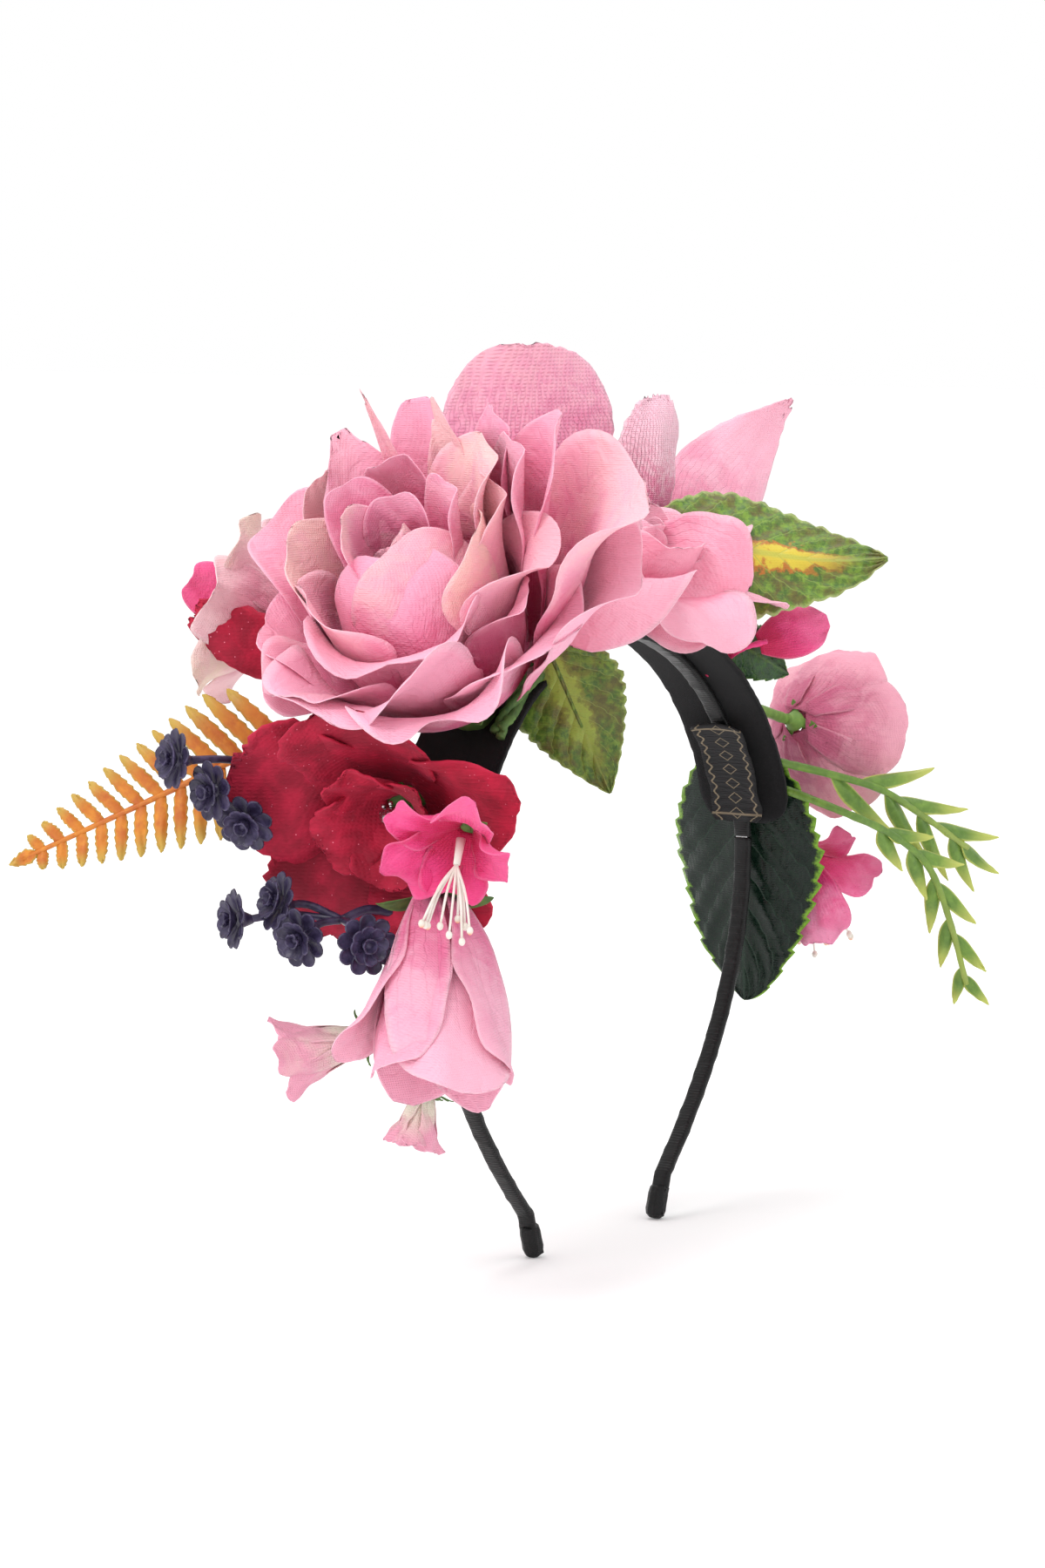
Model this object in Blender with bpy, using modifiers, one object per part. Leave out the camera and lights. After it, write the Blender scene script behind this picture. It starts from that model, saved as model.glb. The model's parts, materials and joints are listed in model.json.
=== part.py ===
"""A flower crown: a satin-covered spring headband, backed with felt and dressed with silk flowers.

The frame: X runs across the head from the left leg to the right, -Y is the front, +Z is up.
The origin is on the floor, midway between the two tips. Sizes are in metres.

Places on the band are given by a run: the distance along its centre line from the top of the
arch, negative to the left. At each run the band has a seat frame: X along the band towards the
right leg, Y across the band towards the back, and Z straight out of the band.
"""

import math

import bmesh
import bpy
from mathutils import Matrix, Vector

MM = 0.001

# The arch that the band's centre line follows: an ellipse over the head, then legs that
# fall inwards along a parabola to the knees, and short toes down to the tips.
ARCH_HEIGHT = 147 * MM
HALF_WIDTH = 69 * MM
WIDEST_HEIGHT = 88 * MM
KNEE_HEIGHT = 11 * MM
KNEE_HALF_WIDTH = 31 * MM
TIP_HALF_WIDTH = 27 * MM
PATH_STEP = 5 * MM

# Clearances.
GAP = 0.3 * MM
SPLIT_GAP = 0.6 * MM
WRAP_FIT = 0.25 * MM
CAP_FIT = 0.2 * MM

# The band: a spring strip inside a satin sleeve, with a folded cap on each tip.
CORE_THICKNESS = 0.7 * MM
CORE_WIDTH = 3.2 * MM
WRAP_WALL = 0.4 * MM
CAP_WALL = 0.4 * MM
CAP_LENGTH = 8 * MM
SPLIT_HEIGHT = 92 * MM
BAND_HALF_THICKNESS = CORE_THICKNESS / 2 + WRAP_FIT + WRAP_WALL
BAND_WIDTH = CORE_WIDTH + 2 * WRAP_FIT + 2 * WRAP_WALL

# The felt backing on the outer face and the woven label on the inner one.
FELT_THICKNESS = 1.2 * MM
FELT_WIDTH = 25 * MM
FELT_CORNER = 7 * MM
LEG_FELT_WIDTH = 19 * MM
LEG_FELT_LENGTH = 48 * MM
FELT_SETBACK = 2 * MM
LABEL_WIDTH = 14 * MM
LABEL_LENGTH = 29 * MM
LABEL_THICKNESS = 0.5 * MM
LABEL_RUN = 79 * MM
SEAT_LIFT = BAND_HALF_THICKNESS + GAP + FELT_THICKNESS + GAP

# Flower making.
PETAL_THICKNESS = 0.7 * MM
LEAF_THICKNESS = 0.6 * MM
STACK = PETAL_THICKNESS + GAP
WHORL_FLOOR = 0.25  # the share of a whorl's radius that lies flat, where whorls stack
STEM_RADIUS = 1.1 * MM
WIRE_RADIUS = 0.8 * MM
TAPED_STEM_RADIUS = 2.2 * MM
BUNDLE_START = -24 * MM
BUNDLE_LENGTH = 36 * MM

# The peony, the largest flower, on the left shoulder of the arch.
PEONY_RUN = -53.5 * MM
PEONY_RADIUS = 46 * MM
PEONY_OUTER_RISE = 24 * MM
PEONY_MIDDLE_RADIUS = 37 * MM
PEONY_MIDDLE_RISE = 47 * MM
PEONY_INNER_RADIUS = 27 * MM
PEONY_INNER_RISE = 52 * MM
PEONY_HEART_RADIUS = 13 * MM
PEONY_HEART_HEIGHT = 44 * MM
PEONY_CALYX_RADIUS = 7 * MM
PEONY_CALYX_HEIGHT = 7 * MM
PALE_FLOWER_TUCK = 6 * MM  # how far the pale flower's middle is tucked in behind the peony's rim

# The second large flower, on top of the arch.
CROWN_ROSE_RUN = 9.6 * MM
CROWN_ROSE_NOD = 22
CROWN_ROSE_RADIUS = 42 * MM
CROWN_ROSE_ARCH = 8 * MM
CROWN_ROSE_SAG = CROWN_ROSE_RADIUS**2 * (ARCH_HEIGHT - WIDEST_HEIGHT) / (2 * HALF_WIDTH**2)
CROWN_ROSE_CLEARANCE = 1.9 * MM
CROWN_ROSE_DROOP = CROWN_ROSE_CLEARANCE - CROWN_ROSE_SAG  # the band falls away by the sag at the petals' tips
CROWN_ROSE_INNER_RADIUS = 25 * MM
CROWN_ROSE_INNER_RISE = 31 * MM
CROWN_ROSE_CALYX_RADIUS = 6 * MM
CROWN_ROSE_CALYX_HEIGHT = 6 * MM
BACK_PETAL_LENGTH = 45 * MM
BACK_PETAL_WIDTH = 47 * MM
VELVET_PETAL_LENGTH = 32 * MM
VELVET_PETAL_WIDTH = 14 * MM
SHOULDER_PETAL_LENGTH = 60 * MM
SHOULDER_PETAL_WIDTH = 30 * MM

# The crimson velvet flower, tucked under the peony by a share of the peony's radius.
CRIMSON_TUCK = 0.44
CRIMSON_RUN = PEONY_RUN - CRIMSON_TUCK * PEONY_RADIUS
CRIMSON_RADIUS = 31 * MM
CRIMSON_RISE = 25 * MM
CRIMSON_INNER_RADIUS = 15 * MM
CRIMSON_INNER_RISE = 18 * MM
CRIMSON_CROWDING = 0.66
CRIMSON_OVAL = 0.72
CRIMSON_CALYX_RADIUS = 4 * MM
CRIMSON_CALYX_HEIGHT = 5.5 * MM
BEAD_RADIUS = 1.6 * MM

# Small flowers and leaves follow the flower they stand next to.
FUCHSIA_RUN = CRIMSON_RUN - 11.8 * MM
DROOPING_ROSE_RUN = CRIMSON_RUN - 29.8 * MM
DROOPING_ROSE_DROP = 19.2 * MM  # from the middle of the crimson flower to the root of the rose's petals
DROOPING_ROSE_RADIUS = 21 * MM
DROOPING_ROSE_LENGTH = 55 * MM
REAR_BLOSSOM_RUN = DROOPING_ROSE_RUN - 27 * MM
LOW_BLOSSOM_RUN = DROOPING_ROSE_RUN - 38 * MM
FERN_LENGTH = 66 * MM
FERN_LEAFLET = 13 * MM
FERN_PAIRS = 13
FERN_CLEARANCE = 1.5 * MM
VIEWER = Vector((-0.8, -0.5, 0.2))
RIGHT_BLOOM_ABOVE_SPLIT = 34.7 * MM
RIGHT_BLOOM_ASIDE = -6 * MM
RIGHT_BLOOM_REACH = Vector((25, 2, 19)) * MM
RIGHT_FUCHSIA_ABOVE_SPLIT = 8.7 * MM
RIGHT_FUCHSIA_DROP = Vector((-1.2, -1.9, -33.8)) * MM  # from the bloom's middle to the fuchsia's
BROAD_LEAF_LENGTH = 79 * MM
BROAD_LEAF_WIDTH = 41 * MM
BROAD_LEAF_ABOVE_SPLIT = 25.2 * MM
BROAD_LEAF_LIFT = Vector((0, 3.7, 5)) * MM
BROAD_LEAF_SWING = 10.1 * MM  # how far the leaf's tip hangs outside the band's widest point
FLORET_RADIUS = 6.5 * MM
FLORET_DEPTH = 4 * MM

BLACK_SATIN = ((0.012, 0.012, 0.013), 0.45, 0.0)
SPRING_STEEL = ((0.55, 0.55, 0.56), 0.35, 1.0)
BLACK_FELT = ((0.01, 0.01, 0.011), 0.95, 0.0)
LABEL_WEAVE = ((0.05, 0.05, 0.05), 0.8, 0.0)
STEM_GREEN = ((0.10, 0.20, 0.05), 0.6, 0.0)
PEONY_PINK = ((0.90, 0.42, 0.55), 0.7, 0.0)
PALE_PINK = ((0.95, 0.70, 0.74), 0.7, 0.0)
DUSTY_PINK = ((0.80, 0.38, 0.44), 0.7, 0.0)
HOT_PINK = ((0.85, 0.06, 0.22), 0.65, 0.0)
CRIMSON = ((0.40, 0.01, 0.05), 0.8, 0.0)
STAMEN_WHITE = ((0.9, 0.88, 0.8), 0.5, 0.0)
BEAD_SILVER = ((0.6, 0.6, 0.6), 0.25, 1.0)
FERN_ORANGE = ((0.70, 0.28, 0.04), 0.5, 0.0)
BERRY_PLUM = ((0.03, 0.02, 0.06), 0.4, 0.0)
LEAF_GREEN = ((0.14, 0.25, 0.04), 0.5, 0.0)
DARK_LEAF = ((0.02, 0.05, 0.03), 0.25, 0.0)
SPRAY_GREEN = ((0.25, 0.38, 0.08), 0.45, 0.0)


def clear_scene():
    for old in list(bpy.data.objects):
        bpy.data.objects.remove(old, do_unlink=True)


def new_collection(name):
    made = bpy.data.collections.new(name)
    bpy.context.scene.collection.children.link(made)
    return made


clear_scene()
PARTS = new_collection("flower_crown")
CUTTERS = new_collection("cutters")


def material(finish):
    """One Principled material for each finish, shared by the pieces that have it."""
    colour, roughness, metallic = finish
    name = "finish_" + "_".join(f"{round(channel * 1000):03d}" for channel in colour)
    made = bpy.data.materials.get(name)
    if made:
        return made
    made = bpy.data.materials.new(name)
    made.use_nodes = True
    shader = made.node_tree.nodes["Principled BSDF"]
    shader.inputs["Base Color"].default_value = (*colour, 1.0)
    shader.inputs["Roughness"].default_value = roughness
    shader.inputs["Metallic"].default_value = metallic
    made.diffuse_color = (*colour, 1.0)
    return made


def add(name, data, finish, frame=None):
    """An object of this mesh or curve, standing at frame: a matrix, or an empty to ride on."""
    made = bpy.data.objects.new(name, data)
    PARTS.objects.link(made)
    if finish:
        data.materials.append(material(finish))
    if isinstance(frame, Matrix):
        made.matrix_world = frame
    elif frame:
        made.parent = frame
    return made


def empty_at(name, frame):
    made = bpy.data.objects.new(name, None)
    made.empty_display_size = 5 * MM
    PARTS.objects.link(made)
    made.matrix_world = frame
    return made


def shade_round(mesh):
    mesh.shade_smooth()
    mesh.set_sharp_from_angle(angle=math.radians(40))


def mesh_of(bm, name):
    bmesh.ops.recalc_face_normals(bm, faces=bm.faces)
    mesh = bpy.data.meshes.new(name)
    bm.to_mesh(mesh)
    bm.free()
    shade_round(mesh)
    return mesh


def solidify(obj, thickness):
    shell = obj.modifiers.new("thickness", "SOLIDIFY")
    shell.thickness = thickness
    shell.offset = 0.0
    return obj


def baked(obj, name=None):
    """The object as a plain mesh object in the same place, with its modifiers applied."""
    bpy.context.view_layer.update()
    graph = bpy.context.evaluated_depsgraph_get()
    place = obj.matrix_world.copy()
    mesh = bpy.data.meshes.new_from_object(obj.evaluated_get(graph))
    bm = bmesh.new()
    bm.from_mesh(mesh)
    bmesh.ops.remove_doubles(bm, verts=bm.verts, dist=0.002 * MM)
    bm.to_mesh(mesh)
    bm.free()
    name = name or obj.name
    bpy.data.objects.remove(obj, do_unlink=True)
    made = bpy.data.objects.new(name, mesh)
    PARTS.objects.link(made)
    made.matrix_world = place
    return made


def as_cutter(obj):
    """Moves an object out of the model, to be only cut with."""
    PARTS.objects.unlink(obj)
    CUTTERS.objects.link(obj)
    obj.hide_render = True
    obj.display_type = "WIRE"
    return obj


def carve(obj, cutter):
    cut = obj.modifiers.new("hollow", "BOOLEAN")
    cut.operation = "DIFFERENCE"
    cut.object = as_cutter(cutter)
    return obj


def joined(name, pieces, origin=None):
    """One moulded body: the union of overlapping pieces, with its origin at a point."""
    pieces = [baked(piece) for piece in pieces]
    body = pieces[0]
    for piece in pieces[1:]:
        union = body.modifiers.new("union", "BOOLEAN")
        union.operation = "UNION"
        union.object = piece
    whole = baked(body, name)
    for piece in pieces[1:]:
        bpy.data.objects.remove(piece, do_unlink=True)
    shade_round(whole.data)
    if origin is not None:
        whole.data.transform(Matrix.Translation(-origin) @ whole.matrix_world)
        whole.matrix_world = Matrix.Translation(origin)
    return whole


# ---------------------------------------------------------------- the band's line


def trace_half():
    """Points (run, x, z) of the right half of the band's centre line, from the top down."""
    crown_steps = 120
    leg_steps = 80
    points = [(0.0, 0.0, ARCH_HEIGHT)]
    places = []
    for step in range(1, crown_steps + 1):
        turn = math.pi / 2 * step / crown_steps
        rise = ARCH_HEIGHT - WIDEST_HEIGHT
        places.append((HALF_WIDTH * math.sin(turn), WIDEST_HEIGHT + rise * math.cos(turn)))
    for step in range(1, leg_steps + 1):
        share = step / leg_steps
        x = HALF_WIDTH - (HALF_WIDTH - KNEE_HALF_WIDTH) * share**2
        places.append((x, WIDEST_HEIGHT - (WIDEST_HEIGHT - KNEE_HEIGHT) * share))
    places.append((TIP_HALF_WIDTH, 0.0))
    for x, z in places:
        run, last_x, last_z = points[-1]
        points.append((run + math.hypot(x - last_x, z - last_z), x, z))
    return points


HALF_PATH = trace_half()
TIP_RUN = HALF_PATH[-1][0]


def band_point(run):
    """The band's centre (x, z) at a run, and its outward direction there."""
    far = min(abs(run), TIP_RUN)
    for before, after in zip(HALF_PATH, HALF_PATH[1:]):
        if far <= after[0]:
            break
    share = (far - before[0]) / (after[0] - before[0])
    x = before[1] + (after[1] - before[1]) * share
    z = before[2] + (after[2] - before[2]) * share
    length = after[0] - before[0]
    out_x = (before[2] - after[2]) / length
    out_z = (after[1] - before[1]) / length
    side = -1 if run < 0 else 1
    return Vector((side * x, z)), Vector((side * out_x, out_z))


def run_at_height(height):
    for before, after in zip(HALF_PATH, HALF_PATH[1:]):
        if after[2] <= height:
            share = (before[2] - height) / (before[2] - after[2])
            return before[0] + (after[0] - before[0]) * share
    return TIP_RUN


SPLIT_RUN = run_at_height(SPLIT_HEIGHT)


def seat_frame(run, aside=0.0, out=SEAT_LIFT):
    """The frame of a seat on the band: X along it to the right, Y to the back, Z out of it."""
    centre, outward = band_point(run)
    z_axis = Vector((outward.x, 0, outward.y))
    y_axis = Vector((0, 1, 0))
    x_axis = y_axis.cross(z_axis)
    turn = Matrix((x_axis, y_axis, z_axis)).transposed().to_4x4()
    place = Vector((centre.x, aside, centre.y)) + z_axis * out
    return Matrix.Translation(place) @ turn


def leaning(seat, reach=(0, 0, 0), lean=0.0, nod=0.0, spin=0.0):
    """A frame off a seat: moved by reach, leant to the right, nodded to the front, then spun."""
    turn = Matrix.Rotation(math.radians(lean), 4, "Y") @ Matrix.Rotation(math.radians(nod), 4, "X")
    return seat @ Matrix.Translation(Vector(reach)) @ turn @ Matrix.Rotation(math.radians(spin), 4, "Z")


# ---------------------------------------------------------------- shapes


def side_outline(name, outline, width, finish, across=0.0):
    """A solid of this outline, given in X and Z, and this width along Y."""
    curve = bpy.data.curves.new(name, "CURVE")
    curve.dimensions = "2D"
    curve.fill_mode = "BOTH"
    curve.extrude = width / 2
    spline = curve.splines.new("POLY")
    spline.points.add(len(outline) - 1)
    for point, (x, z) in zip(spline.points, outline):
        point.co = (x, z, 0, 1)
    spline.use_cyclic_u = True
    upright = Matrix.Translation((0, across, 0)) @ Matrix.Rotation(math.radians(90), 4, "X")
    return add(name, curve, finish, upright)


def strip(name, run_from, run_to, low, high, width, finish, floor=None):
    """A strip along the band between two runs, from low to high outside its centre line.

    Where a floor is given, the end on a toe is cut level at that height.
    """
    count = max(2, math.ceil((run_to - run_from) / PATH_STEP))
    inner = []
    outer = []
    for step in range(count + 1):
        run = run_from + (run_to - run_from) * step / count
        centre, outward = band_point(run)
        down = Vector((outward.y, -outward.x)) * (1 if run >= 0 else -1)
        for points, offset in ((inner, low), (outer, high)):
            point = centre + outward * offset
            on_toe = abs(run) >= TIP_RUN - CAP_LENGTH / 4
            if floor is not None and on_toe:
                point += down * ((floor - point.y) / down.y)
            points.append((point.x, point.y))
    return side_outline(name, outer + inner[::-1], width, finish)


def round_ends(obj, radius):
    """Rounds a strip's four corners as seen from outside the band."""
    obj = baked(obj)
    bm = bmesh.new()
    bm.from_mesh(obj.data)
    widest = max(vert.co.z for vert in bm.verts)
    corners = []
    for edge in bm.edges:
        one, two = edge.verts
        along_edge = abs(one.co.z) > widest * 0.99 and (one.co.z * two.co.z) > 0
        sharp = len(edge.link_faces) == 2 and edge.calc_face_angle() > math.radians(80)
        flat_faces = [face for face in edge.link_faces if abs(face.normal.z) > 0.9]
        if along_edge and sharp and not flat_faces:
            corners.append(edge)
    bmesh.ops.bevel(bm, geom=corners, offset=radius, segments=4, profile=0.5, affect="EDGES")
    bm.to_mesh(obj.data)
    bm.free()
    return obj


def tube(name, points, radius, finish, frame=None, sides=2):
    """A stem or wire: a curve through these points with filled ends."""
    curve = bpy.data.curves.new(name, "CURVE")
    curve.dimensions = "3D"
    curve.bevel_depth = radius
    curve.bevel_resolution = sides
    curve.use_fill_caps = True
    spline = curve.splines.new("POLY")
    spline.points.add(len(points) - 1)
    for point, place in zip(spline.points, points):
        point.co = (*place, 1)
    return add(name, curve, finish, frame)


def smooth_route(ends, steps=6):
    """Points on a smooth curve through a few chosen ones."""
    places = [Vector(end) for end in ends]
    padded = [places[0] * 2 - places[1], *places, places[-1] * 2 - places[-2]]
    route = []
    for one, two, three, four in zip(padded, padded[1:], padded[2:], padded[3:]):
        for step in range(steps):
            t = step / steps
            place = two * (2 * t**3 - 3 * t**2 + 1) + three * (3 * t**2 - 2 * t**3)
            place += (three - one) * 0.5 * (t**3 - 2 * t**2 + t)
            place += (four - two) * 0.5 * (t**3 - t**2)
            route.append(place)
    return [*route, places[-1]]


def turned(name, profile, finish, frame, steps=14):
    """A turned solid from (radius, height) points that run from the top down the outer side."""
    mesh = bpy.data.meshes.new(name)
    edges = [(i, i + 1) for i in range(len(profile) - 1)]
    mesh.from_pydata([(radius, 0, height) for radius, height in profile], edges, [])
    made = add(name, mesh, finish, frame)
    screw = made.modifiers.new("turn", "SCREW")
    screw.axis = "Z"
    screw.steps = steps
    screw.render_steps = steps
    screw.use_merge_vertices = True
    screw.merge_threshold = 0.0001 * 0.5
    screw.use_smooth_shade = True
    return made


def petal_bowl(
    name, finish, frame, radius, rise, lobes=5, notch=0.25, arch=0.0, power=1.5,
    base=0.0, crowding=0.0, crowd_turn=0.0, oval=1.0, rings=4, thickness=PETAL_THICKNESS,
):
    """A whorl of petals: a flat-floored bowl whose rim is cut into lobes, spun from a profile.

    arch lifts the bowl halfway out, so that a whorl can rise and droop again. crowding draws the
    rim in on the side at crowd_turn degrees, where a neighbour stands, and oval narrows the whorl
    both ways along that direction.
    """
    bm = bmesh.new()
    profile = [bm.verts.new((radius * ring / rings, 0, 0)) for ring in range(rings + 1)]
    edges = [bm.edges.new(pair) for pair in zip(profile, profile[1:])]
    bmesh.ops.spin(
        bm, geom=profile + edges, axis=(0, 0, 1), cent=(0, 0, 0), angle=math.tau,
        steps=lobes * 4, use_merge=True,
    )
    bmesh.ops.remove_doubles(bm, verts=bm.verts, dist=0.01 * MM)
    for vert in bm.verts:
        share = Vector(vert.co.xy).length / radius
        if share == 0:
            vert.co.z = base
            continue
        turn = math.atan2(vert.co.y, vert.co.x)
        cut = notch * share**2 * (0.5 + 0.5 * math.cos(lobes * turn)) ** 2
        towards = math.cos(turn - math.radians(crowd_turn))
        kept = (1 - cut) * (1 - crowding * max(0.0, towards)) * (1 - (1 - oval) * towards**2)
        vert.co.xy = vert.co.xy * kept
        share *= kept
        climb = max(0.0, share - WHORL_FLOOR) / (1 - WHORL_FLOOR)
        vert.co.z = base + 4 * arch * climb * (1 - climb) + rise * climb**power
    return solidify(add(name, mesh_of(bm, name), finish, frame), thickness)


def blade(
    name, finish, frame, length, width, widest=0.45, arc=0.0, fold=0.0, cup=0.0,
    thickness=LEAF_THICKNESS, rows=7, columns=4, stalk=0.5 * MM,
):
    """A petal or leaf that grows along Z from its base, with its width along Y.

    arc bends its tip towards X, fold creases it along the midrib and cup curls its edges up.
    """
    bm = bmesh.new()
    bmesh.ops.create_grid(bm, x_segments=rows, y_segments=columns, size=1.0)
    skew = math.log(0.5) / math.log(widest)
    for vert in bm.verts:
        along = (vert.co.x + 1) / 2
        across = vert.co.y
        half_width = max(stalk, width / 2 * math.sin(math.pi * along**skew) ** 0.75)
        lift = arc * along**2 + fold * abs(across) * half_width + cup * across**2 * half_width
        vert.co = (lift, across * half_width, along * length)
    return solidify(add(name, mesh_of(bm, name), finish, frame), thickness)


def aimed(start, end, face=(0, 0, 1)):
    """A frame at start with Z towards end, and X as near to face as it can be."""
    z_axis = (Vector(end) - Vector(start)).normalized()
    y_axis = z_axis.cross(Vector(face)).normalized()
    x_axis = y_axis.cross(z_axis)
    turn = Matrix((x_axis, y_axis, z_axis)).transposed().to_4x4()
    return Matrix.Translation(Vector(start)) @ turn


def calyx(name, frame, radius, height, finish=STEM_GREEN):
    """The green cup under a flower: its top meets the underside of the lowest petals."""
    top = -PETAL_THICKNESS / 2 - GAP
    profile = [
        (0, top),
        (radius, top),
        (radius * 0.9, top - height * 0.4),
        (radius * 0.5, top - height * 0.8),
        (radius * 0.42, top - height),
        (0, top - height),
    ]
    return turned(name, profile, finish, frame, steps=10)


def stemmed_calyx(name, flower, radius, height, start, way=None):
    """A calyx moulded on its own stem, which starts at a point in the crown and may bend on its way."""
    cup = calyx(name + "_cup", flower, radius, height)
    bottom = flower.matrix_world @ Vector((0, 0, -PETAL_THICKNESS / 2 - GAP - height * 0.6))
    route = smooth_route([start, way or start.lerp(bottom, 0.5), bottom], steps=4)
    stem = tube(name + "_stalk", route, STEM_RADIUS, STEM_GREEN)
    return joined(name, [cup, stem])


# ---------------------------------------------------------------- the headband


def sleeve(name, run_from, run_to, floor=None):
    """The satin cover: an open-ended tube round the core, with a working fit."""
    outside = BAND_HALF_THICKNESS
    inside = outside - WRAP_WALL
    cover = baked(strip(name, run_from, run_to, -outside, outside, BAND_WIDTH, BLACK_SATIN, floor))
    past = 2 * MM
    bore_from = run_from - past if run_from > -TIP_RUN else run_from
    bore_to = run_to + past if run_to < TIP_RUN else run_to
    bore_floor = None if floor is None else -past
    bore_width = BAND_WIDTH - 2 * WRAP_WALL
    bore = strip(name + "_bore", bore_from, bore_to, -inside, inside, bore_width, None, bore_floor)
    return carve(cover, baked(bore))


def headband():
    half_core = CORE_THICKNESS / 2
    floor = CAP_WALL + GAP
    crown_end = SPLIT_RUN - SPLIT_GAP / 2
    leg_start = SPLIT_RUN + SPLIT_GAP / 2
    stretches = (
        ("crown", -crown_end, crown_end, None),
        ("left_leg", -TIP_RUN, -leg_start, floor),
        ("right_leg", leg_start, TIP_RUN, floor),
    )
    for place, start, end, level in stretches:
        strip("spring_strip_" + place, start, end, -half_core, half_core, CORE_WIDTH, SPRING_STEEL, level)
        sleeve("satin_sleeve_" + place, start, end, level)


def tip_caps():
    """The folded satin caps: each has a pocket for the end of its leg."""
    pocket = BAND_HALF_THICKNESS + CAP_FIT
    pocket_width = BAND_WIDTH + 2 * CAP_FIT
    shell = pocket + CAP_WALL
    for name, side in (("tip_cap_left", -1), ("tip_cap_right", 1)):
        runs = sorted((side * (TIP_RUN - CAP_LENGTH), side * TIP_RUN))
        cap = baked(strip(name, *runs, -shell, shell, pocket_width + 2 * CAP_WALL, BLACK_SATIN, 0.0))
        longer = sorted((side * (TIP_RUN - 2 * CAP_LENGTH), side * TIP_RUN))
        hollow = strip(name + "_pocket", *longer, -pocket, pocket, pocket_width, None, CAP_WALL)
        carve(cap, baked(hollow))


def felt_and_label():
    low = BAND_HALF_THICKNESS + GAP
    high = low + FELT_THICKNESS
    end = SPLIT_RUN - FELT_SETBACK
    round_ends(strip("felt_crown", -end, end, low, high, FELT_WIDTH, BLACK_FELT), FELT_CORNER)
    start = SPLIT_RUN + FELT_SETBACK
    leg_felt = strip("felt_left_leg", -start - LEG_FELT_LENGTH, -start, low, high, LEG_FELT_WIDTH, BLACK_FELT)
    round_ends(leg_felt, FELT_CORNER)
    label_out = -BAND_HALF_THICKNESS - GAP
    half = LABEL_LENGTH / 2
    strip(
        "woven_label", LABEL_RUN - half, LABEL_RUN + half, label_out - LABEL_THICKNESS, label_out,
        LABEL_WIDTH, LABEL_WEAVE,
    )


def stem_bundle():
    """The flowers' wires, taped together along the front edge of the felt on the left."""
    aside = -FELT_WIDTH / 2 + TAPED_STEM_RADIUS
    points = []
    steps = 9
    for step in range(steps + 1):
        run = BUNDLE_START - BUNDLE_LENGTH * step / steps
        points.append(seat_frame(run, aside, SEAT_LIFT + TAPED_STEM_RADIUS).translation)
    return tube("taped_stem_bundle", points, TAPED_STEM_RADIUS, STEM_GREEN, sides=2)


# ---------------------------------------------------------------- the flowers


def peony():
    lift = PEONY_CALYX_HEIGHT + PETAL_THICKNESS / 2 + GAP
    flower = empty_at("peony_seat", leaning(seat_frame(PEONY_RUN), (0, 0, lift), lean=3, nod=-3))
    calyx("peony_calyx", flower, PEONY_CALYX_RADIUS, PEONY_CALYX_HEIGHT)
    petal_bowl("peony_outer_petals", PEONY_PINK, flower, PEONY_RADIUS, PEONY_OUTER_RISE, lobes=6)
    petal_bowl(
        "peony_middle_petals", PEONY_PINK, flower, PEONY_MIDDLE_RADIUS, PEONY_MIDDLE_RISE, lobes=6,
        base=STACK,
    )
    petal_bowl(
        "peony_inner_petals", PEONY_PINK, flower, PEONY_INNER_RADIUS, PEONY_INNER_RISE, lobes=5,
        base=2 * STACK,
    )
    foot = 2 * STACK + PETAL_THICKNESS / 2 + GAP
    waist = foot + PEONY_HEART_HEIGHT * 0.25
    bulge = PEONY_HEART_HEIGHT - waist
    profile = [(0, PEONY_HEART_HEIGHT)]
    turns = 8
    for step in range(1, turns):
        turn = math.pi * step / turns
        around = PEONY_HEART_RADIUS * math.sin(turn)
        profile.append((around, waist + bulge * (0.5 + 0.5 * math.cos(turn))))
    profile += [(PEONY_HEART_RADIUS * 0.2, waist), (PEONY_HEART_RADIUS * 0.2, foot), (0, foot)]
    turned("peony_heart", profile, PEONY_PINK, flower)


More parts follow.
